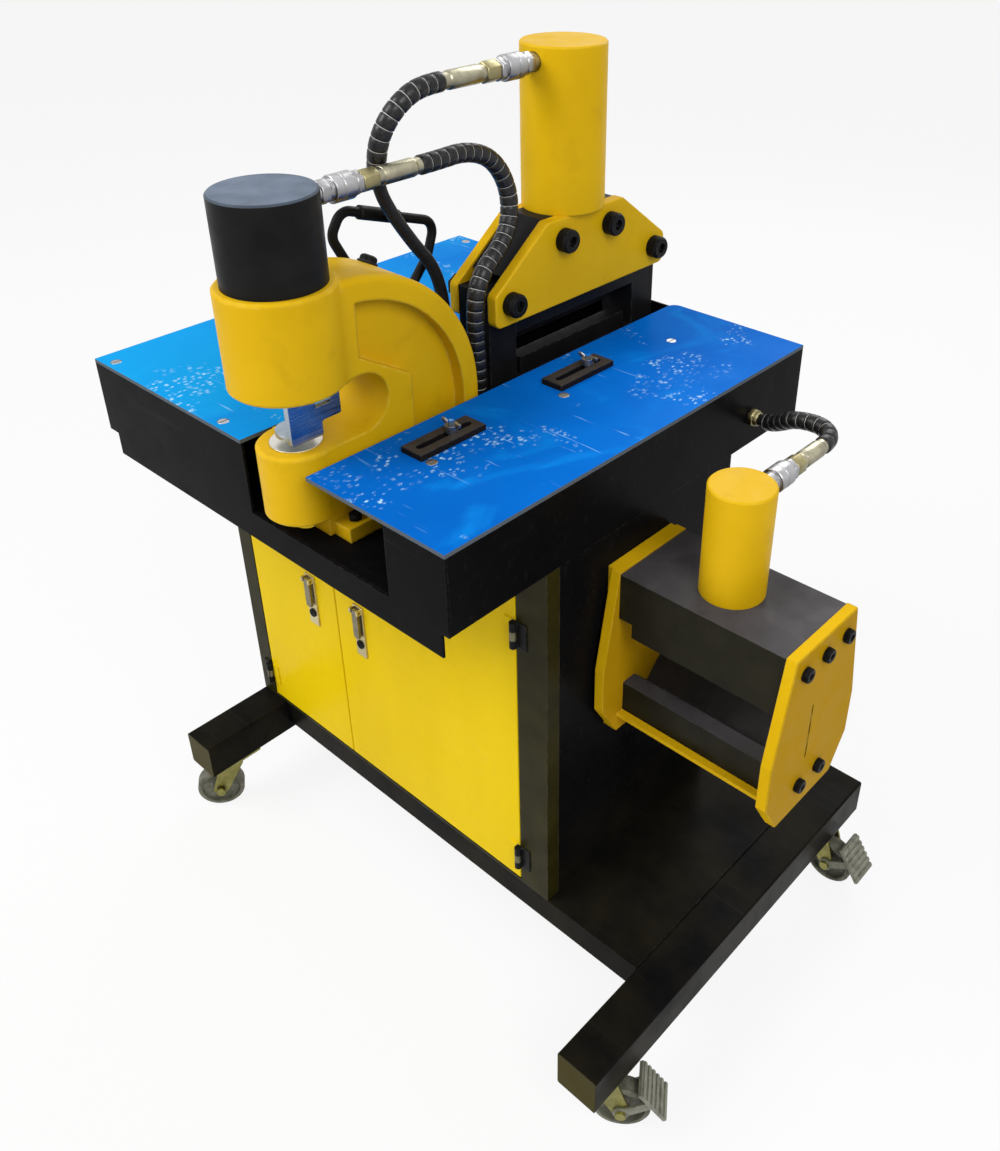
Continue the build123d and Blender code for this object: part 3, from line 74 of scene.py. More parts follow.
# Hose ports on the cylinders: place, the way the coupler points, and the fitting's length in mm
PUNCH_PORT = (Vector((-0.0755, -0.2306, 1.1010)), Vector((0, 1, 0)), 88)
CUTTER_PORT = (Vector((-0.0755, 0.1156, 1.1860)), Vector((0, -1, 0)), 88)
BENDER_PORT = (Vector((0.3375, 0.0409, 0.7860)), Vector((0, 1, 0)), 72)
COUPLER_LENGTH = 66
NUT_RADIUS = 13
DECK_NUT_LENGTH = 24
WALL_NUT_LENGTH = 14
HOSE_DIAMETER = 16 * MM

# Hose guards; a rib is given by shares of its pitch and the radius each ends on, the groove last
GUARD_SIDES = 28
GUARD_WALL = 0.9 * MM
RIB_PITCH = 13.09 * MM
RIB_START = 9.4
RIB = (
    (0.04, 10.2),
    (0.05, 10.5),
    (0.23, 10.5),
    (0.23, 10.5),
    (0.22, 10.5),
    (0.05, 10.2),
    (0.04, 9.4),
    (0.14, 9.4),
)

PUNCH_ROUTE = [
    (-0.0755, -0.0766, 1.1010),
    (-0.0755, -0.0486, 1.1010),
    (-0.0755, -0.0076, 1.1030),
    (-0.0745, 0.0294, 1.0920),
    (-0.0715, 0.0514, 1.0680),
    (-0.0685, 0.0614, 1.0360),
    (-0.0645, 0.0554, 1.0030),
    (-0.0595, 0.0334, 0.9800),
    (-0.0565, 0.0054, 0.9640),
    (-0.0535, -0.0146, 0.9420),
    (-0.0525, -0.0206, 0.9100),
    (-0.0525, -0.0205, 0.8740),
    (-0.0515, -0.0195, 0.8310),
    (-0.0525, -0.0195, 0.7880),
    (-0.0525, -0.0195, 0.7450),
]
CUTTER_ROUTE = [
    (-0.0755, -0.0384, 1.1860),
    (-0.0755, -0.0584, 1.1860),
    (-0.0775, -0.0834, 1.1800),
    (-0.0835, -0.1064, 1.1610),
    (-0.0925, -0.1184, 1.1340),
    (-0.0995, -0.1194, 1.1050),
    (-0.1045, -0.1134, 1.0750),
    (-0.1065, -0.0984, 1.0470),
    (-0.1075, -0.0794, 1.0190),
    (-0.1085, -0.0594, 0.9920),
    (-0.1085, -0.0385, 0.9670),
    (-0.1085, -0.0265, 0.9380),
    (-0.1085, -0.0205, 0.9040),
    (-0.1085, -0.0195, 0.8660),
    (-0.1085, -0.0205, 0.8260),
    (-0.1085, -0.0195, 0.7850),
    (-0.1085, -0.0195, 0.7450),
]
BENDER_ROUTE = [
    (0.3375, 0.1789, 0.7860),
    (0.3375, 0.1919, 0.7860),
    (0.3315, 0.2059, 0.7880),
    (0.3185, 0.2139, 0.7900),
    (0.3005, 0.2159, 0.7900),
    (0.2745, 0.2179, 0.7840),
    (0.2535, 0.2260, 0.7690),
    (0.2325, 0.2330, 0.7570),
    (0.2165, 0.2330, 0.7570),
]

# Hoses: name, route, length in metres and the number of ribs on the guard
HOSES = (
    ("punch_hose", PUNCH_ROUTE, 0.496, 33),
    ("cutter_hose", CUTTER_ROUTE, 0.523, 11),
    ("bender_hose", BENDER_ROUTE, 0.155, 11),
)

# Screws of the cutter and the bender: distance along Y from the middle of the unit, and height
CUTTER_BOLTS = ((0.145, 0.915), (0.046, 0.973))
BENDER_SCREWS = ((-0.0445, 0.643), (0, 0.643), (0.0445, 0.643), (-0.022, 0.457), (0.022, 0.457))
FOOT_BOLTS = ((-0.1355, -0.260, 0.739), (-0.0155, -0.260, 0.739))

# The round rim of the punch frame, and how far up it the bolt stands, in degrees
RIM_MIDDLE = Vector((-0.108, -0.231, 0.824))
RIM_RADIUS = 0.194
RIM_BOLT_ANGLE = 61

# Panel screws, caster plates and the bolts on each, along X and Y in millimetres
PANEL_SCREWS = [(59.5, y) for y in (-203, 20, 243)]
PANEL_SCREWS += [(x, y) for x in (-443.5, -196.5) for y in (-304, 17, 338)]
CASTER_PLATES = [(x, y) for x in (-417.5, 386.5) for y in (-269, 262)]
CASTER_BOLTS = [(x, y) for x in (-20, 20) for y in (-30, 30)]

# Where the small pieces stand: heights, faces, the filler cap and each lock along X in millimetres
TABLE_TOP = 0.820
FILLER_INSET = Vector((0.04, 0.045, 0))
CASTER_PLATE_BOTTOM = 0.100
DOOR_FRONT = -0.172
LOCK_HEIGHT = 0.4185
DOOR_LOCKS = (("left_door", -266.5), ("right_door", -156.5))

# Boxes, as two corners in millimetres, that hold details of one colour
LOCK_PLATES = (
    ((-277, -181, 396.5), (-256, -169.3, 487.5)),
    ((-167, -181, 396.5), (-146, -169.3, 487.5)),
)
HINGE_KNUCKLES = (
    ((-420, -181, 150), (-409, -169.3, 680)),
    ((147, -181, 150), (158, -169.3, 680)),
)
# The gauge groove, darkened with painted shade
GAUGE_GROOVE = ((463.8, -11.3, 493.5), (465.3, -6.7, 576.5))

# Colours, as linear red, green and blue
CASTING_DEEP = (0.665, 0.398, 0.004)
CASTING_BRIGHT = (0.735, 0.45, 0.007)
CASTING_GRIME = (0.47, 0.265, 0.005)
CASTING_RUBBED = (0.84, 0.60, 0.08)
# Painted shade on the bender plate's faces that look along X
BENDER_SIDE_SHADE = (0.45, 0.252, 0.004)
# Painted shade inside the gauge groove
GROOVE_SHADE = (0.16, 0.085, 0.002)
DOOR_DEEP = (0.78, 0.54, 0.003)
DOOR_BRIGHT = (0.85, 0.60, 0.005)
DOOR_SMEAR = (0.68, 0.45, 0.004)
LOCK_PLATE_DULL = (0.50, 0.43, 0.22)
LOCK_PLATE_BRIGHT = (0.68, 0.60, 0.36)
HINGE_DARK = (0.10, 0.09, 0.05)
HINGE_PALE = (0.22, 0.20, 0.12)
ENAMEL = (0.004, 0.004, 0.0046)
ENAMEL_DUST = (0.013, 0.0125, 0.0115)
ENAMEL_SCRATCH = (0.014, 0.014, 0.014)
ENAMEL_RUBBED = (0.06, 0.056, 0.05)
# Painted warm reflection low on the black enamel
LOW_WARM_REFLECTION = (0.026, 0.022, 0.010)
# Painted olive reflection on the front ends of the legs
LEG_END_REFLECTION = (0.056, 0.046, 0.006)
FILM_FLECK = (0.45, 0.74, 0.94)
FILM_STROKE = (0.3, 0.6, 0.92)
PANEL_CUT_EDGE = (0.10, 0.12, 0.14)
HOSE_BLACK = (0.007, 0.007, 0.008)
HOSE_BLOOM = (0.03, 0.03, 0.031)
WHEEL_GREY = (0.10, 0.10, 0.075)
WHEEL_DUST = (0.24, 0.235, 0.18)
GREY_RUBBED = (0.42, 0.42, 0.38)

# Film tones: deep, bright, sheen as a painted highlight, and front as painted shading towards the
# front
RIGHT_FILM = ((0.001, 0.115, 0.53), (0.002, 0.175, 0.69), (0.005, 0.29, 0.84), (0.002, 0.115, 0.49))
LEFT_FILM = ((0.004, 0.19, 0.68), (0.006, 0.31, 0.73), (0.02, 0.46, 0.82), (0.006, 0.33, 0.73))

# The grinding lines on the stripper: their depth in millimetres and the way they run
STRIPPER_GRAIN = 0.002
STRIPPER_LAY = (0.3, 0.03, 1)

SMOOTH_ANGLE = radians(35)
BEVEL_ANGLE = radians(40)


# Camera, light and floor
def place_camera():
    """The photographer stands in front and to the right, looking down on the table."""
    turned = tuple(radians(angle) for angle in CAMERA_TURN)
    bpy.ops.object.camera_add(location=CAMERA_PLACE, rotation=turned)
    camera = bpy.context.object
    camera.data.sensor_fit = "HORIZONTAL"
    camera.data.sensor_width = SENSOR_WIDTH
    camera.data.lens = CAMERA_LENS
    camera.data.shift_x, camera.data.shift_y = CAMERA_SHIFT
    bpy.context.scene.camera = camera


def soft_light(name, place, aim, size, power):
    bpy.ops.object.light_add(type="AREA", location=place)
    lamp = bpy.context.object
    lamp.name = name
    lamp.data.shape = "DISK"
    lamp.data.size = size
    lamp.data.energy = power
    lamp.rotation_euler = (Vector(place) - Vector(aim)).to_track_quat("Z", "Y").to_euler()


def seen_directly(tree):
    """A share that is 1 for what the camera sees, straight or in metal and glass."""
    path = tree.nodes.new("ShaderNodeLightPath")
    seen = path.outputs["Is Camera Ray"]
    for ray in ("Is Glossy Ray", "Is Transmission Ray"):
        seen = largest(tree, seen, path.outputs[ray])
    return seen


def light_studio():
    """Three soft lamps in a white room, which is dimmer as a light than it looks."""
    for lamp in LAMPS:
        soft_light(*lamp)
    world = bpy.data.worlds.new("studio")
    bpy.context.scene.world = world
    world.use_nodes = True
    tree = world.node_tree
    background = tree.nodes["Background"]
    background.inputs["Color"].default_value = (1, 1, 1, 1)
    strength = between(tree, seen_directly(tree), 0, 1, WORLD_LIGHT, 1)
    tree.links.new(strength, background.inputs["Strength"])


def lay_floor():
    """A plain pale floor, evenly bright to the eye, that still takes soft shadows."""
    deselect()
    bpy.ops.mesh.primitive_plane_add(size=FLOOR_SIZE, location=(0, 0, 0))
    floor = bpy.context.object
    floor.name = "floor"
    material = bpy.data.materials.new("studio_floor")
    material.use_nodes = True
    tree = material.node_tree
    shader = tree.nodes["Principled BSDF"]
    shader.inputs["Roughness"].default_value = 0.7
    shader.inputs["Specular IOR Level"].default_value = 0.1
    shader.inputs["Base Color"].default_value = FLOOR_GREY
    glow = tree.nodes.new("ShaderNodeEmission")
    glow.inputs["Strength"].default_value = 1
    mix = tree.nodes.new("ShaderNodeMixShader")
    tree.links.new(between(tree, seen_directly(tree), 0, 1, 0, FLOOR_GLOW), mix.inputs["Fac"])
    tree.links.new(shader.outputs["BSDF"], mix.inputs[1])
    tree.links.new(glow.outputs["Emission"], mix.inputs[2])
    tree.links.new(mix.outputs["Shader"], tree.nodes["Material Output"].inputs["Surface"])
    floor.data.materials.append(material)


# Material parts: most return a socket of the material's node tree
def new_finish(name, roughness, metallic=0.0, specular=0.5):
    material = bpy.data.materials.new(name)
    material.use_nodes = True
    shader = material.node_tree.nodes["Principled BSDF"]
    shader.inputs["Roughness"].default_value = roughness
    shader.inputs["Metallic"].default_value = metallic
    shader.inputs["Specular IOR Level"].default_value = specular
    return material, material.node_tree, shader


def place_of(tree, stretch=(1, 1, 1)):
    place = tree.nodes.new("ShaderNodeTexCoord")
    mapping = tree.nodes.new("ShaderNodeMapping")
    mapping.inputs["Scale"].default_value = stretch
    tree.links.new(place.outputs["Object"], mapping.inputs["Vector"])
    return mapping.outputs["Vector"]


def along(tree, axis):
    """Where a point lies along one axis, in metres."""
    split = tree.nodes.new("ShaderNodeSeparateXYZ")
    tree.links.new(place_of(tree), split.inputs["Vector"])
    return split.outputs[axis]


def cloud(tree, scale, detail=4, stretch=(1, 1, 1), distortion=0.0):
    noise = tree.nodes.new("ShaderNodeTexNoise")
    noise.inputs["Scale"].default_value = scale
    noise.inputs["Detail"].default_value = detail
    noise.inputs["Distortion"].default_value = distortion
    tree.links.new(place_of(tree, stretch), noise.inputs["Vector"])
    return noise.outputs["Fac"]


def speckle(tree, scale, stretch=(1, 1, 1)):
    cells = tree.nodes.new("ShaderNodeTexVoronoi")
    cells.inputs["Scale"].default_value = scale
    tree.links.new(place_of(tree, stretch), cells.inputs["Vector"])
    return cells.outputs["Distance"]


def between(tree, value, low, high, start=0.0, end=1.0):
    """Spread a socket's stretch from low to high over start to end."""
    spread = tree.nodes.new("ShaderNodeMapRange")
    spread.inputs["From Min"].default_value = low
    spread.inputs["From Max"].default_value = high
    spread.inputs["To Min"].default_value = start
    spread.inputs["To Max"].default_value = end
    tree.links.new(value, spread.inputs["Value"])
    return spread.outputs["Result"]


def blend_colours(tree, share, first, second):
    mix = tree.nodes.new("ShaderNodeMix")
    mix.data_type = "RGBA"
    tree.links.new(share, mix.inputs["Factor"])
    for colour, socket in ((first, mix.inputs["A"]), (second, mix.inputs["B"])):
        if isinstance(colour, tuple):
            socket.default_value = (*colour, 1)
        else:
            tree.links.new(colour, socket)
    return mix.outputs["Result"]


def both(tree, operation, first, second):
    sums = tree.nodes.new("ShaderNodeMath")
    sums.operation = operation
    tree.links.new(first, sums.inputs[0])
    tree.links.new(second, sums.inputs[1])
    return sums.outputs[0]


def times(tree, first, second):
    return both(tree, "MULTIPLY", first, second)


def largest(tree, first, second):
    return both(tree, "MAXIMUM", first, second)


def in_box(tree, low, high):
    """A share that is 1 inside a box, whose two corners are in millimetres, and 0 outside it."""
    middle = (Vector(low) + Vector(high)) / 2 * MM
    half = (Vector(high) - Vector(low)) / 2 * MM
    reach = place_of(tree)
    for operation, value in (("SUBTRACT", middle), ("DIVIDE", half), ("ABSOLUTE", None)):
        step = tree.nodes.new("ShaderNodeVectorMath")
        step.operation = operation
        tree.links.new(reach, step.inputs[0])
        if value is not None:
            step.inputs[1].default_value = value
        reach = step.outputs["Vector"]
    split = tree.nodes.new("ShaderNodeSeparateXYZ")
    tree.links.new(reach, split.inputs["Vector"])
    sideways = largest(tree, split.outputs["X"], split.outputs["Y"])
    return between(tree, largest(tree, sideways, split.outputs["Z"]), 1.02, 1)


def soft_edges(tree, radius):
    bevel = tree.nodes.new("ShaderNodeBevel")
    bevel.samples = 4
    bevel.inputs["Radius"].default_value = radius
    return bevel.outputs["Normal"]


def worn_edges(tree, radius):
    """A share that is high along sharp edges, where hands and parts rub the paint."""
    edge = soft_edges(tree, radius)
    face = tree.nodes.new("ShaderNodeNewGeometry")
    compare = tree.nodes.new("ShaderNodeVectorMath")
    compare.operation = "DOT_PRODUCT"
    tree.links.new(edge, compare.inputs[0])
    tree.links.new(face.outputs["Normal"], compare.inputs[1])
    return between(tree, compare.outputs["Value"], 0.985, 0.85)


def rubbed_edges(tree, radius, scale, *spread):
    """Worn edges, broken up by a cloud that is spread as in between."""
    return times(tree, worn_edges(tree, radius), between(tree, cloud(tree, scale), *spread))


def set_colour(tree, shader, colour):
    tree.links.new(colour, shader.inputs["Base Color"])


def vary_roughness(tree, shader, patches, low, high, full=0.7):
    """Let the roughness go from low to high as patches go from 0.3 to full."""
    tree.links.new(between(tree, patches, 0.3, full, low, high), shader.inputs["Roughness"])


def shaded(tone, share):
    return tuple(share * value for value in tone)


def relief(tree, shader, height, depth, edge=None, strength=1.0):
    bump = tree.nodes.new("ShaderNodeBump")
    bump.inputs["Strength"].default_value = strength
    bump.inputs["Distance"].default_value = depth
    tree.links.new(height, bump.inputs["Height"])
    if edge is not None:
        tree.links.new(edge, bump.inputs["Normal"])
    tree.links.new(bump.outputs["Normal"], shader.inputs["Normal"])


def slope_along(tree, axis, kind="True Normal"):
    """How far a face looks along an axis, from -1 to 1."""
    face = tree.nodes.new("ShaderNodeNewGeometry")
    split = tree.nodes.new("ShaderNodeSeparateXYZ")
    tree.links.new(face.outputs[kind], split.inputs["Vector"])
    return split.outputs[axis]


def facing(tree, axis, way=1):
    """A share that is 1 on faces that look along an axis, or against it, and 0 on the others."""
    return between(tree, slope_along(tree, axis), 0.6 * way, 0.8 * way)


# Finishes
def casting_paint(name, edge, specular=0.06, flat=None, groove=None):
    """Thick yellow paint on castings and flame-cut plates, rubbed paler along the edges.

    flat is a painted shade colour for faces that look along X; groove is a box of painted shade in
    the gauge groove.
    """
    material, tree, shader = new_finish(name, roughness=0.4, specular=specular)
    patches = between(tree, cloud(tree, 9), 0.35, 0.7)
    patches = blend_colours(tree, patches, CASTING_DEEP, CASTING_BRIGHT)
    # Painted shade: faces that look along X take the flat colour
    if flat is not None:
        patches = blend_colours(tree, facing(tree, "X"), patches, flat)
    # Painted shade darkens the paint inside the groove box
    if groove is not None:
        patches = blend_colours(tree, in_box(tree, *groove), patches, GROOVE_SHADE)
    grime = between(tree, cloud(tree, 26, 6, distortion=0.6), 0.58, 0.78, 0, 0.3)
    dirty = blend_colours(tree, grime, patches, CASTING_GRIME)
    rubbed = rubbed_edges(tree, edge, 90, 0.4, 0.6, 0.1, 0.7)
    set_colour(tree, shader, blend_colours(tree, rubbed, dirty, CASTING_RUBBED))
    vary_roughness(tree, shader, cloud(tree, 40), 0.32, 0.5)
    relief(tree, shader, cloud(tree, 420, 3), 0.2 * MM, soft_edges(tree, edge))
    return material


def door_paint():
    """Brighter, even yellow on the sheet-metal doors, with plated locks and dark hinge knuckles."""
    material, tree, shader = new_finish("door_yellow_paint", roughness=0.3, specular=0.03)
    streaks = between(tree, cloud(tree, 3.2, 3, (2.4, 1, 0.5)), 0.36, 0.68)
    shade = blend_colours(tree, streaks, DOOR_DEEP, DOOR_BRIGHT)
    smears = between(tree, cloud(tree, 30, 6, distortion=1.2), 0.6, 0.78, 0, 0.3)
    paint = blend_colours(tree, smears, shade, DOOR_SMEAR)
    plates = largest(tree, *(in_box(tree, *box) for box in LOCK_PLATES))
    hinges = largest(tree, *(in_box(tree, *box) for box in HINGE_KNUCKLES))
    plate_tone = blend_colours(tree, cloud(tree, 90), LOCK_PLATE_DULL, LOCK_PLATE_BRIGHT)
    hinge_tone = blend_colours(tree, cloud(tree, 120), HINGE_DARK, HINGE_PALE)
    with_plates = blend_colours(tree, plates, paint, plate_tone)
    set_colour(tree, shader, blend_colours(tree, hinges, with_plates, hinge_tone))
    metal = between(tree, largest(tree, plates, hinges), 0, 1, 0, 0.9)
    tree.links.new(metal, shader.inputs["Metallic"])
    vary_roughness(tree, shader, cloud(tree, 14), 0.24, 0.38)
    relief(tree, shader, cloud(tree, 600, 2), 0.08 * MM, soft_edges(tree, 1.5 * MM))
    return material


def black_gloss():
    """Black enamel with fine scratches, a painted warm reflection low down and a painted olive
    reflection on the front ends of the legs.
    """
    material, tree, shader = new_finish("black_enamel", roughness=0.3, specular=0.02)
    dust = between(tree, cloud(tree, 55, 6, distortion=0.8), 0.55, 0.8, 0, 0.3)
    base = blend_colours(tree, dust, ENAMEL, ENAMEL_DUST)
    lines = between(tree, cloud(tree, 60, 3, (0.06, 2.6, 1)), 0.63, 0.7, 0, 0.4)
    scratched = blend_colours(tree, lines, base, ENAMEL_SCRATCH)
    # Painted warm reflection that grows towards the bottom, broken up by a cloud
    low_down = between(tree, along(tree, "Z"), 0.3, 0.11, 0, 0.6)
    painted_low_reflection = times(tree, low_down, between(tree, cloud(tree, 14, 5), 0.3, 0.7))
    dusty = blend_colours(tree, painted_low_reflection, scratched, LOW_WARM_REFLECTION)
    # Painted olive reflection on low faces that look to the front, at the front ends of the legs
    low_fronts = times(tree, facing(tree, "Y", -1), between(tree, along(tree, "Z"), 0.17, 0.16))
    painted_leg_reflection = times(tree, low_fronts, between(tree, along(tree, "Y"), -0.30, -0.31, 0, 0.9))
    with_leg_reflection = blend_colours(tree, painted_leg_reflection, dusty, LEG_END_REFLECTION)
    rubbed = rubbed_edges(tree, 1.6 * MM, 120, 0.45, 0.62, 0, 0.6)
    set_colour(tree, shader, blend_colours(tree, rubbed, with_leg_reflection, ENAMEL_RUBBED))
    vary_roughness(tree, shader, cloud(tree, 18, 5), 0.22, 0.42, 0.72)
    relief(tree, shader, cloud(tree, 260, 2), 0.08 * MM, soft_edges(tree, 1.5 * MM))
    return material


def black_machined(name, tone, shine, top=None):
    """Satin black steel with faint tool marks; top is the colour of a painted sky reflection on
    faces that look up.
    """
    material, tree, shader = new_finish(name, shine, specular=0.06)
    patches = between(tree, cloud(tree, 22, 5), 0.35, 0.7)
    shade = blend_colours(tree, patches, shaded(tone, 0.6), tone)
    # Painted sky reflection: faces that look up take the top colour
    if top is not None:
        smears = between(tree, cloud(tree, 30, 5, distortion=0.5), 0.35, 0.7)
        bright = blend_colours(tree, smears, shaded(top, 0.7), top)
        shade = blend_colours(tree, facing(tree, "Z"), shade, bright)
    pale = tuple(value + 0.07 for value in tone)
    rubbed = rubbed_edges(tree, 1.8 * MM, 110, 0.4, 0.62, 0, 0.8)
    set_colour(tree, shader, blend_colours(tree, rubbed, shade, pale))
    vary_roughness(tree, shader, cloud(tree, 34), shine - 0.07, shine + 0.1)
    relief(tree, shader, cloud(tree, 420, 2, (1, 1, 0.05)), 0.05 * MM, soft_edges(tree, 1.5 * MM))
    return material


def blue_film(name, deep, bright, sky, front):
    """Steel panel under scuffed blue film, with a painted sheen highlight, painted shading in its
    own tone towards the front and bare cut edges.
    """
    material, tree, shader = new_finish(name, roughness=0.24, specular=0.005)
    waves = between(tree, cloud(tree, 3.4, 4, distortion=0.4), 0.36, 0.66)
    # Painted shading: the film turns to the front tone towards the front
    forward = between(tree, along(tree, "Y"), 0.1, -0.3)
    forward = times(tree, forward, between(tree, cloud(tree, 5, 3), 0.3, 0.6, 0.3, 1))
    depth = blend_colours(tree, forward, blend_colours(tree, waves, deep, bright), front)
    # Painted highlight: a sheen in the sky tone
    sheen = between(tree, cloud(tree, 6.5, 5, (1.3, 0.8, 1), 1.4), 0.58, 0.76, 0, 0.6)
    lit = blend_colours(tree, sheen, depth, sky)
    large_flecks = between(tree, speckle(tree, 75), 0.3, 0.12)
    small_flecks = between(tree, speckle(tree, 160, (1, 0.6, 1)), 0.36, 0.16)
    ragged = between(tree, cloud(tree, 240, 3, distortion=1.5), 0.4, 0.56)
    where = times(tree, ragged, between(tree, cloud(tree, 9, 5, distortion=0.6), 0.54, 0.62))
    flecks = times(tree, largest(tree, large_flecks, small_flecks), where)
    scuffed = blend_colours(tree, flecks, lit, FILM_FLECK)
    strokes = between(tree, cloud(tree, 46, 2, (0.18, 3.2, 1), 0.5), 0.66, 0.72)
    stroke_spots = between(tree, cloud(tree, 7, 3), 0.5, 0.62, 0, 0.6)
    lined = blend_colours(tree, times(tree, strokes, stroke_spots), scuffed, FILM_STROKE)
    set_colour(tree, shader, blend_colours(tree, facing(tree, "Z"), PANEL_CUT_EDGE, lined))
    vary_roughness(tree, shader, cloud(tree, 12, 5), 0.16, 0.34, 0.72)
    relief(tree, shader, cloud(tree, 30, 4, distortion=0.8), 0.3 * MM, strength=0.5)
    return material


def plated(name, tone, shine, dull):
    """Zinc or chrome plate with faint turning lines, dull patches, specks of grime and painted
    shade on faces that look down.
    """
    material, tree, shader = new_finish(name, shine, metallic=1.0)
    patches = between(tree, cloud(tree, 70, 5), 0.4, 0.68)
    patches = blend_colours(tree, patches, tone, shaded(tone, dull))
    # Painted shade: faces that look down turn darker, together with the grime specks
    underside = between(tree, slope_along(tree, "Z", "Normal"), 0.5, -0.3, 0, 0.75)
    dirt = between(tree, cloud(tree, 260, 3), 0.66, 0.8, 0, 0.3)
    grime = largest(tree, dirt, underside)
    set_colour(tree, shader, blend_colours(tree, grime, patches, shaded(tone, 0.3)))
    vary_roughness(tree, shader, cloud(tree, 120), shine - 0.06, shine + 0.14)
    relief(tree, shader, cloud(tree, 900, 2, (1, 0.1, 1)), 0.012 * MM, soft_edges(tree, 0.8 * MM))
    return material


def tool_steel(name, tone, oiled, shine, grain=0.012, lay=(0.04, 1, 1)):
    """Ground steel of the punch, stripper and die, with an oil film.

    grain is the depth of the grinding lines in millimetres, lay is the way they run.
    """
    material, tree, shader = new_finish(name, shine, metallic=1.0)
    grind = cloud(tree, 500, 2, lay)
    oil = blend_colours(tree, between(tree, cloud(tree, 40, 5), 0.4, 0.7), tone, oiled)
    set_colour(tree, shader, oil)
    vary_roughness(tree, shader, grind, shine - 0.06, shine + 0.1)
    relief(tree, shader, grind, grain * MM, soft_edges(tree, 1 * MM))
    return material


def hose_rubber():
    """Black rubber with dusty bloom."""
    material, tree, shader = new_finish("hose_rubber", roughness=0.5, specular=0.25)
    bloom = between(tree, cloud(tree, 160, 5), 0.5, 0.75, 0, 0.6)
    set_colour(tree, shader, blend_colours(tree, bloom, HOSE_BLACK, HOSE_BLOOM))
    vary_roughness(tree, shader, cloud(tree, 90), 0.4, 0.62)
    relief(tree, shader, cloud(tree, 1400, 2), 0.1 * MM)
    return material


def guard_plastic(name, tone, scuff):
    """Hard plastic of the hose guards, scuffed along the bands."""
    material, tree, shader = new_finish(name, roughness=0.32, specular=0.3)
    scuffs = between(tree, cloud(tree, 300, 4), 0.5, 0.7, 0, 0.7)
    set_colour(tree, shader, blend_colours(tree, scuffs, tone, scuff))
    vary_roughness(tree, shader, cloud(tree, 200), 0.24, 0.44)
    relief(tree, shader, cloud(tree, 700, 2), 0.06 * MM)
    return material


def wheel_rubber():
    """Grey caster wheels, dusty from the floor."""
    material, tree, shader = new_finish("wheel_rubber", roughness=0.6, specular=0.3)
    dust = between(tree, cloud(tree, 60, 6), 0.4, 0.7)
    set_colour(tree, shader, blend_colours(tree, dust, WHEEL_GREY, WHEEL_DUST))
    vary_roughness(tree, shader, cloud(tree, 50), 0.5, 0.75)
    relief(tree, shader, cloud(tree, 600, 3), 0.15 * MM, soft_edges(tree, 1.5 * MM))
    return material


def grey_paint(name, tone):
    """Grey hammer paint of the pedals and the power unit."""
    material, tree, shader = new_finish(name, roughness=0.42, specular=0.3)
    patches = between(tree, cloud(tree, 80, 6), 0.4, 0.68)
    patches = blend_colours(tree, patches, tone, shaded(tone, 0.6))
    rubbed = rubbed_edges(tree, 1.5 * MM, 140, 0.42, 0.6)
    set_colour(tree, shader, blend_colours(tree, rubbed, patches, GREY_RUBBED))
    vary_roughness(tree, shader, cloud(tree, 60), 0.34, 0.55)
    relief(tree, shader, speckle(tree, 500), 0.1 * MM, soft_edges(tree, 1.2 * MM))
    return material


FINISHES = {
    "yellow_casting": casting_paint("plate_yellow_paint", edge=2 * MM),
    "yellow_sheet": door_paint(),
    "black_gloss": black_gloss(),
    "black_machined": black_machined("satin_black_steel", (0.011, 0.011, 0.012), shine=0.36),
    "black_oxide": black_machined("oxide_black_steel", (0.010, 0.010, 0.010), shine=0.4),
    "blue_film": blue_film("right_panel_film", *RIGHT_FILM),
    "zinc": plated("bright_zinc", (0.48, 0.48, 0.49), shine=0.32, dull=0.8),
    "chrome_lever": plated("lever_chrome", (0.34, 0.30, 0.19), shine=0.2, dull=0.7),
    "brass_olive": plated("olive_zinc", (0.42, 0.37, 0.19), shine=0.32, dull=0.65),
    "hose_rubber": hose_rubber(),
    "wheel_rubber": wheel_rubber(),
    "pedal_grey": grey_paint("pedal_grey_paint", (0.25, 0.25, 0.19)),
    "tool_steel": tool_steel(
        "ground_tool_steel", (0.46, 0.47, 0.49), (0.30, 0.33, 0.38), shine=0.26
    ),
    "power_unit": grey_paint("power_unit_grey_paint", (0.16, 0.175, 0.19)),
}

# The olive tone is a painted reflection of the yellow parts; the lighter top is a painted sky
# reflection
BENDER_BLACK = black_machined(
    "bender_block_black", (0.021, 0.019, 0.010), shine=0.34, top=(0.075, 0.07, 0.075)
)
# The lighter top is a painted sky reflection on the stop bars
STOP_BAR_BLACK = black_machined(
    "stop_bar_black", (0.014, 0.011, 0.010), shine=0.42, top=(0.05, 0.042, 0.038)
)
# The cutter blades are painted black as shade in the cutter opening
BLADE_PAINTED_SHADE = black_machined("blade_painted_shade", (0.010, 0.009, 0.010), shine=0.44)
CASTER_ZINC = plated("caster_zinc", (0.40, 0.37, 0.12), shine=0.36, dull=0.6)
FERRULE_ZINC = plated("ferrule_zinc", (0.46, 0.43, 0.31), shine=0.3, dull=0.7)
GUARD_BAND = guard_plastic("guard_band_plastic", (0.006, 0.006, 0.007), (0.03, 0.03, 0.03))
# The pale groove colour is a painted highlight between the bands
GUARD_GROOVE_HIGHLIGHT = guard_plastic("guard_groove_highlight", (0.42, 0.42, 0.40), (0.20, 0.20, 0.19))

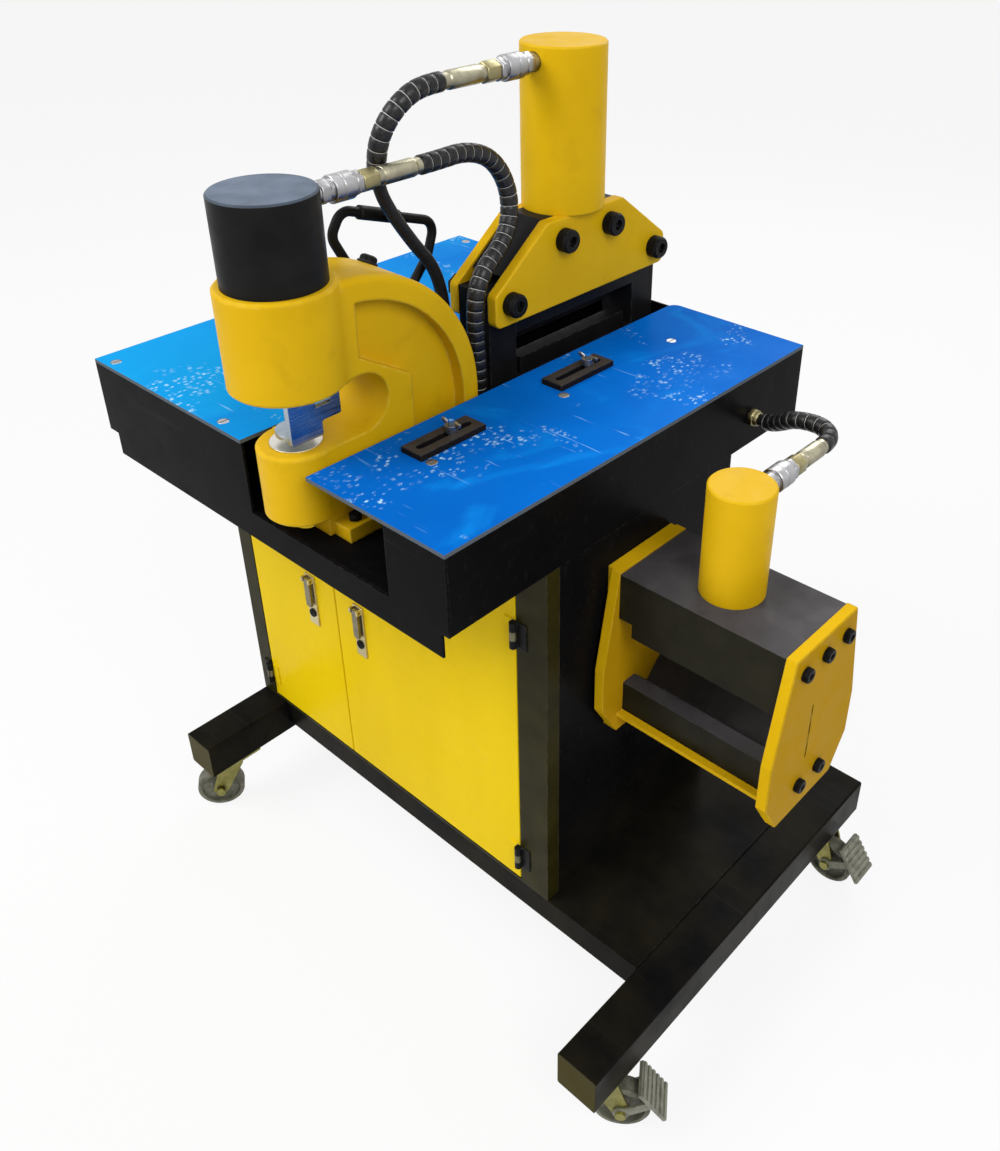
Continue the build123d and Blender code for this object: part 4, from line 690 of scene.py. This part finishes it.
# Nodes whose own piece looks different from the rest of its material slot
NODE_FINISHES = {
    "punch_frame": casting_paint("punch_casting_paint", edge=5 * MM),
    # The bender plate gets painted shade on its faces along X and in its gauge groove
    "bender_frame": casting_paint(
        "bender_plate_paint", edge=2 * MM, specular=0.012, flat=BENDER_SIDE_SHADE, groove=GAUGE_GROOVE
    ),
    # The olive tone of the door frame is a painted reflection of the yellow doors
    "door_frame": black_machined("door_frame_olive_reflection", (0.030, 0.026, 0.005), shine=0.36),
    # The slate-blue top is a painted sky reflection on the cap
    "punch_cylinder": black_machined(
        "punch_cap_black", (0.013, 0.013, 0.013), shine=0.38, top=(0.135, 0.175, 0.24)
    ),
    "bender_head_block": BENDER_BLACK,
    "bender_die": BENDER_BLACK,
    "front_stop_bar": STOP_BAR_BLACK,
    "rear_stop_bar": STOP_BAR_BLACK,
    "left_panel": blue_film("left_panel_film", *LEFT_FILM),
    "cutter_upper_blade": BLADE_PAINTED_SHADE,
    "cutter_lower_blade": BLADE_PAINTED_SHADE,
    "punch_die": tool_steel("bright_die_steel", (0.80, 0.78, 0.70), (0.66, 0.65, 0.60), shine=0.34),
    # The blue tint of the stripper is a painted reflection of the blue panel
    "punch_stripper": tool_steel(
        "stripper_steel_blue_reflection",
        (0.40, 0.46, 0.52),
        (0.30, 0.36, 0.43),
        shine=0.26,
        grain=STRIPPER_GRAIN,
        lay=STRIPPER_LAY,
    ),
    "caster_plates": CASTER_ZINC,
    "front_left_yoke": CASTER_ZINC,
    "front_right_yoke": CASTER_ZINC,
    "rear_left_yoke": CASTER_ZINC,
    "rear_right_yoke": CASTER_ZINC,
}


def dress_nodes():
    """Give each piece of the frame the finish of its node, or else of its material slot."""
    for subpart in frame["record"]["subparts"]:
        name = subpart["node"]
        mesh = frame["nodes"][name].data
        mesh.materials.clear()
        mesh.materials.append(NODE_FINISHES.get(name) or FINISHES[subpart["material_slot"]])


# Modelling by hand: round and six-sided pieces are given in millimetres
def deselect():
    bpy.ops.object.select_all(action="DESELECT")


def turn(rings, steps=48):
    """Turn a closed round solid about Z through rings of (radius, height), the first at one end."""
    deselect()
    radius, height = rings[0]
    bpy.ops.mesh.primitive_circle_add(
        vertices=steps, radius=radius * MM, fill_type="NGON", location=(0, 0, 0)
    )
    bpy.ops.object.mode_set(mode="EDIT")
    bpy.ops.mesh.select_all(action="SELECT")
    bpy.ops.transform.translate(value=(0, 0, height * MM))
    for next_radius, next_height in rings[1:]:
        rise = (0, 0, (next_height - height) * MM)
        bpy.ops.mesh.extrude_region_move(TRANSFORM_OT_translate={"value": rise})
        bpy.ops.transform.resize(value=(next_radius / radius, next_radius / radius, 1))
        radius, height = next_radius, next_height
    bpy.ops.mesh.select_all(action="SELECT")
    bpy.ops.mesh.normals_make_consistent(inside=False)
    bpy.ops.object.mode_set(mode="OBJECT")
    return bpy.context.object


def knurl(piece, low, high, least_radius, depth):
    """Raise every other side face between two heights, counted around Z."""
    flats = [
        face
        for face in piece.data.polygons
        if low * MM < face.center.z < high * MM
        and abs(face.normal.z) < 0.2
        and face.center.xy.length > least_radius * MM
    ]
    flats.sort(key=lambda face: atan2(face.center.y, face.center.x))
    for part in (piece.data.polygons, piece.data.edges, piece.data.vertices):
        part.foreach_set("select", [False] * len(part))
    for face in flats[::2]:
        face.select = True
    bpy.context.view_layer.objects.active = piece
    bpy.ops.object.mode_set(mode="EDIT")
    bpy.ops.mesh.select_mode(type="FACE")
    bpy.ops.mesh.extrude_faces_move(TRANSFORM_OT_shrink_fatten={"value": depth * MM})
    bpy.ops.object.mode_set(mode="OBJECT")


def break_edges(piece, width):
    bevel = piece.modifiers.new("soft_edges", "BEVEL")
    bevel.width = width * MM
    bevel.segments = 1
    bevel.limit_method = "ANGLE"
    bevel.angle_limit = BEVEL_ANGLE
    bpy.context.view_layer.objects.active = piece
    bpy.ops.object.modifier_apply(modifier=bevel.name)


def cut_away(piece, cutter):
    carve = piece.modifiers.new("cut", "BOOLEAN")
    carve.operation = "DIFFERENCE"
    carve.solver = "EXACT"
    carve.object = cutter
    bpy.context.view_layer.objects.active = piece
    bpy.ops.object.modifier_apply(modifier=carve.name)
    bpy.data.objects.remove(cutter)


def saw_slot(piece, width, length, depth, top):
    """Cut a straight slot down into a round head."""
    deselect()
    bpy.ops.mesh.primitive_cube_add(
        size=MM, location=(0, 0, top * MM), scale=(width, length, 2 * depth)
    )
    cut_away(piece, bpy.context.object)


def stand(piece, place, aim=(0, 0, 1)):
    """Turn a piece's own Z towards aim and set its foot on place."""
    deselect()
    piece.select_set(True)
    bpy.context.view_layer.objects.active = piece
    piece.rotation_mode = "QUATERNION"
    piece.rotation_quaternion = Vector(aim).to_track_quat("Z", "Y")
    piece.location = place
    bpy.ops.object.transform_apply(location=True, rotation=True, scale=True)
    return piece


def another(piece):
    copy = piece.copy()
    copy.data = piece.data.copy()
    bpy.context.collection.objects.link(copy)
    return copy


def join(pieces):
    deselect()
    for piece in pieces:
        piece.select_set(True)
    bpy.context.view_layer.objects.active = pieces[0]
    bpy.ops.object.join()
    return bpy.context.object


def hand_over(piece, name, slot, body=MACHINE, finish=None):
    """Name a finished piece, give it a finish if it has none and let it ride on its body."""
    deselect()
    piece.select_set(True)
    bpy.context.view_layer.objects.active = piece
    piece.name = name
    piece.data.name = name
    if not piece.data.materials:
        piece.data.materials.append(finish or FINISHES[slot])
    bpy.ops.object.shade_smooth_by_angle(angle=SMOOTH_ANGLE)
    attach(piece, body)
    return piece


# Hoses and their ribbed guards
def hose_curve(name, route):
    deselect()
    data = bpy.data.curves.new(name, "CURVE")
    data.dimensions = "3D"
    data.resolution_u = 10
    spline = data.splines.new("NURBS")
    spline.points.add(len(route) - 1)
    for point, place in zip(spline.points, route):
        point.co = (*place, 1)
    spline.order_u = 3
    spline.use_endpoint_u = True
    curve = bpy.data.objects.new(name, data)
    bpy.context.collection.objects.link(curve)
    return curve


def ribbed_guard(name, curve, ribs):
    """One wide band with its groove, painted pale as a highlight, is drawn out, repeated along X
    and bent along the hose.
    """
    deselect()
    bpy.ops.mesh.primitive_circle_add(
        vertices=GUARD_SIDES,
        radius=RIB_START * MM,
        fill_type="NOTHING",
        rotation=(0, radians(90), 0),
    )
    guard = bpy.context.object
    bpy.ops.object.transform_apply(location=True, rotation=True, scale=True)
    bpy.ops.object.mode_set(mode="EDIT")
    bpy.ops.mesh.select_all(action="SELECT")
    radius = RIB_START
    for share, next_radius in RIB:
        step = (share * RIB_PITCH, 0, 0)
        bpy.ops.mesh.extrude_region_move(TRANSFORM_OT_translate={"value": step})
        bpy.ops.transform.resize(value=(1, next_radius / radius, next_radius / radius))
        radius = next_radius
    bpy.ops.object.mode_set(mode="OBJECT")
    guard.data.materials.append(GUARD_BAND)
    guard.data.materials.append(GUARD_GROOVE_HIGHLIGHT)
    # The groove faces take the painted highlight
    groove_start = (1 - RIB[-1][0]) * RIB_PITCH
    for face in guard.data.polygons:
        face.material_index = int(face.center.x > groove_start)
    repeat = guard.modifiers.new("ribs", "ARRAY")
    repeat.use_relative_offset = False
    repeat.use_constant_offset = True
    repeat.constant_offset_displace = (RIB_PITCH, 0, 0)
    repeat.count = ribs
    repeat.use_merge_vertices = True
    repeat.merge_threshold = 0.05 * MM
    wall = guard.modifiers.new("wall", "SOLIDIFY")
    wall.thickness = GUARD_WALL
    wall.offset = -1
    follow = guard.modifiers.new("follow_hose", "CURVE")
    follow.object = curve
    follow.deform_axis = "POS_X"
    for modifier in ("ribs", "wall", "follow_hose"):
        bpy.ops.object.modifier_apply(modifier=modifier)
    bpy.ops.object.mode_set(mode="EDIT")
    bpy.ops.mesh.select_all(action="SELECT")
    bpy.ops.mesh.normals_make_consistent(inside=False)
    bpy.ops.object.mode_set(mode="OBJECT")
    return hand_over(guard, name, "hose_rubber")


def lay_hoses():
    for name, route, length, ribs in HOSES:
        curve = hose_curve(name.replace("hose", "hose_line"), route)
        guard = ribbed_guard(name.replace("hose", "guard"), curve, ribs)
        curve.data.bevel_depth = HOSE_DIAMETER / 2
        curve.data.bevel_resolution = 6
        curve.data.use_fill_caps = True
        curve.data.materials.append(FINISHES["hose_rubber"])
        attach(curve, MACHINE)
        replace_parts(curve, name)
        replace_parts(guard, "hose_guards")


# Couplers, hose fittings and screws
def hex_block(radius, low, high):
    """A six-sided block, chamfered at both ends, with its edges broken."""
    chamfer = 0.08 * radius
    end = 0.9 * radius
    piece = turn([(end, low), (radius, low + chamfer), (radius, high - chamfer), (end, high)], 6)
    break_edges(piece, 0.05 * radius)
    return piece


def coupler():
    """Screwed nose and hexagon, the sliding sleeve with its ring groove, and the tail hexagon."""
    sleeve = turn(
        [
            (11, 0),
            (11, 10),
            (12.2, 20),
            (12.2, 26),
            (14.6, 26.3),
            (15.5, 27.4),
            (15.5, 36.5),
            (15, 37),
            (15, 38.6),
            (15.5, 39.1),
            (15.5, 53),
            (14.6, 55),
            (12.4, 55.4),
            (12.4, 58),
        ]
    )
    front_hexagon = hex_block(radius=14, low=9, high=22)
    tail_hexagon = hex_block(radius=14, low=56.5, high=COUPLER_LENGTH)
    return join([sleeve, front_hexagon, tail_hexagon])


def hose_ferrule(length):
    """The neck behind the nut and the long smooth ferrule pressed on the hose."""
    low, high = 0.34 * length, 0.9 * length
    return turn(
        [
            (10, 0.2 * length),
            (10, low),
            (10.6, low + 0.3),
            (11, low + 1.1),
            (11, high - 4),
            (10.5, high - 1.2),
            (9.6, high),
            (9.6, length),
        ]
    )


def port_nut(length):
    """The nut and neck where a hose goes into the table."""
    nut = hex_block(NUT_RADIUS, 0, 0.6 * length)
    neck = turn([(10, 0.5 * length), (10, 0.85 * length), (9, length)])
    return join([neck, nut])


def fit_couplers():
    couplers, nuts, ferrules = [], [], []
    model = coupler()
    for place, aim, length in (PUNCH_PORT, CUTTER_PORT, BENDER_PORT):
        couplers.append(stand(another(model), place, aim))
        behind = place + COUPLER_LENGTH * MM * aim
        nuts.append(stand(hex_block(NUT_RADIUS, 0, 0.26 * length), behind, aim))
        ferrules.append(stand(hose_ferrule(length), behind, aim))
    bpy.data.objects.remove(model)
    for route in (PUNCH_ROUTE, CUTTER_ROUTE):
        foot = Vector(route[-1]) - Vector((0, 0, DECK_NUT_LENGTH * MM))
        nuts.append(stand(port_nut(DECK_NUT_LENGTH), foot))
    foot = Vector(BENDER_ROUTE[-1]) - Vector((WALL_NUT_LENGTH * MM, 0, 0))
    nuts.append(stand(port_nut(WALL_NUT_LENGTH), foot, (1, 0, 0)))
    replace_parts(hand_over(join(couplers), "quick_couplers", "zinc"), "hose_couplers")
    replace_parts(hand_over(join(nuts), "hose_nuts", "brass_olive"), "hose_fittings")
    ferrules = hand_over(join(ferrules), "hose_ferrules", "brass_olive", finish=FERRULE_ZINC)
    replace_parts(ferrules, "hose_fittings")


def socket_screw(radius, height, socket):
    """A knurled cap screw head with a hexagon socket."""
    head = turn(
        [
            (0.95 * radius, 0),
            (0.98 * radius, 0.06 * height),
            (0.98 * radius, 0.8 * height),
            (0.95 * radius, 0.9 * height),
            (0.86 * radius, height),
        ]
    )
    knurl(head, 0.1 * height, 0.78 * height, 0.9 * radius, 0.02 * radius)
    deselect()
    bpy.ops.mesh.primitive_cylinder_add(
        vertices=6, radius=socket * MM, depth=height * MM, location=(0, 0, height * MM)
    )
    cut_away(head, bpy.context.object)
    return head


def fit_screws():
    """Cap screws and hexagon heads on the cutter, the bender and the foot of the punch."""
    low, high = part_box("cutter_side_plates")
    middle = (low.y + high.y) / 2
    bolts = []
    near = socket_screw(radius=15.5, height=17, socket=8)
    far = hex_block(radius=15.5, low=0, high=17)
    for across, height in CUTTER_BOLTS:
        for side in (-1, 1):
            y = middle + side * across
            bolts.append(stand(another(near), (high.x, y, height), (1, 0, 0)))
            bolts.append(stand(another(far), (low.x, y, height), (-1, 0, 0)))
    bender_low, bender_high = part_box("bender_frame")
    bender_middle = (bender_low.y + bender_high.y) / 2
    small = socket_screw(radius=9, height=8, socket=4.8)
    for across, height in BENDER_SCREWS:
        place = (bender_high.x, bender_middle + across, height)
        bolts.append(stand(another(small), place, (1, 0, 0)))
    foot = hex_block(radius=8, low=0, high=8)
    for place in FOOT_BOLTS:
        bolts.append(stand(another(foot), place))
    for model in (near, far, small, foot):
        bpy.data.objects.remove(model)
    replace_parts(hand_over(join(bolts), "black_bolts", "black_oxide"), "cap_screws")


def fit_rim_bolt():
    """The low round bolt on the rim of the punch frame, in front of the carry handle."""
    lean = radians(RIM_BOLT_ANGLE)
    aim = Vector((0, cos(lean), sin(lean)))
    washer = turn([(12.5, -0.5), (12.5, 1.4), (11.6, 2.2)])
    bolt = join([washer, turn([(10.5, 1.5), (10.5, 6), (9, 8.6), (5.5, 10)])])
    hand_over(stand(bolt, RIM_MIDDLE + RIM_RADIUS * aim, aim), "rim_bolt", "black_oxide")


def fit_panel_screws():
    """Flush slotted screws that hold the two panels down."""
    model = turn([(6.6, -2.4), (7, -2), (7, -0.5), (6.5, -0.05)])
    saw_slot(model, width=1.5, length=20, depth=1.2, top=0)
    heads = [stand(another(model), (x * MM, y * MM, TABLE_TOP)) for x, y in PANEL_SCREWS]
    bpy.data.objects.remove(model)
    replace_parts(hand_over(join(heads), "panel_screw_heads", "zinc"), "panel_screws")


def fit_door_locks():
    """A round lock barrel with a raised rim and a key slot, under the lever of each door."""
    model = turn([(7, -0.2), (7, 1.6), (6.4, 2.2), (5.4, 2.2), (5, 1.4), (0.6, 1.4)])
    saw_slot(model, width=1.6, length=6, depth=1.1, top=1.5)
    for body, x in DOOR_LOCKS:
        lock = stand(another(model), (x * MM, DOOR_FRONT, LOCK_HEIGHT), (0, -1, 0))
        hand_over(lock, body + "_lock", "black_oxide", body)
    bpy.data.objects.remove(model)


def fit_caster_bolts():
    """Four hexagon heads under each caster plate."""
    model = hex_block(radius=5.5, low=0, high=4.2)
    heads = []
    for plate_x, plate_y in CASTER_PLATES:
        for x, y in CASTER_BOLTS:
            place = ((plate_x + x) * MM, (plate_y + y) * MM, CASTER_PLATE_BOTTOM)
            heads.append(stand(another(model), place, (0, 0, -1)))
    bpy.data.objects.remove(model)
    hand_over(join(heads), "caster_bolts", "zinc", finish=CASTER_ZINC)


def fit_power_unit():
    """Finned motor on its pump flange, and the filler cap of the oil tank."""
    low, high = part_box("pump_motor")
    motor = turn(
        [
            (40, 0),
            (40, 26),
            (34, 28),
            (34, 36),
            (60, 36.5),
            (61.5, 38),
            (61.5, 48),
            (57, 49),
            (57, 146),
            (61, 147),
            (61.5, 149),
            (61.5, 176),
            (56, 184),
            (48, 186),
        ],
        72,
    )
    knurl(motor, low=50, high=145, least_radius=50, depth=4)
    stand(motor, ((low.x + high.x) / 2, (low.y + high.y) / 2, low.z))
    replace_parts(hand_over(motor, "finned_motor", "power_unit"), "pump_motor")
    tank_low, tank_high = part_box("oil_tank")
    cap = turn([(15, -0.3), (15, 7), (20, 8), (21, 9), (21, 22), (19, 24), (8, 25)])
    knurl(cap, low=10, high=21, least_radius=18, depth=0.7)
    corner = Vector((tank_low.x, tank_low.y, tank_high.z))
    stand(cap, corner + FILLER_INSET)
    hand_over(cap, "filler_cap", "black_oxide")


place_camera()
light_studio()
lay_floor()
dress_nodes()
lay_hoses()
fit_couplers()
fit_screws()
fit_rim_bolt()
fit_panel_screws()
fit_door_locks()
fit_caster_bolts()
fit_power_unit()

bpy.context.scene.view_settings.view_transform = "Standard"
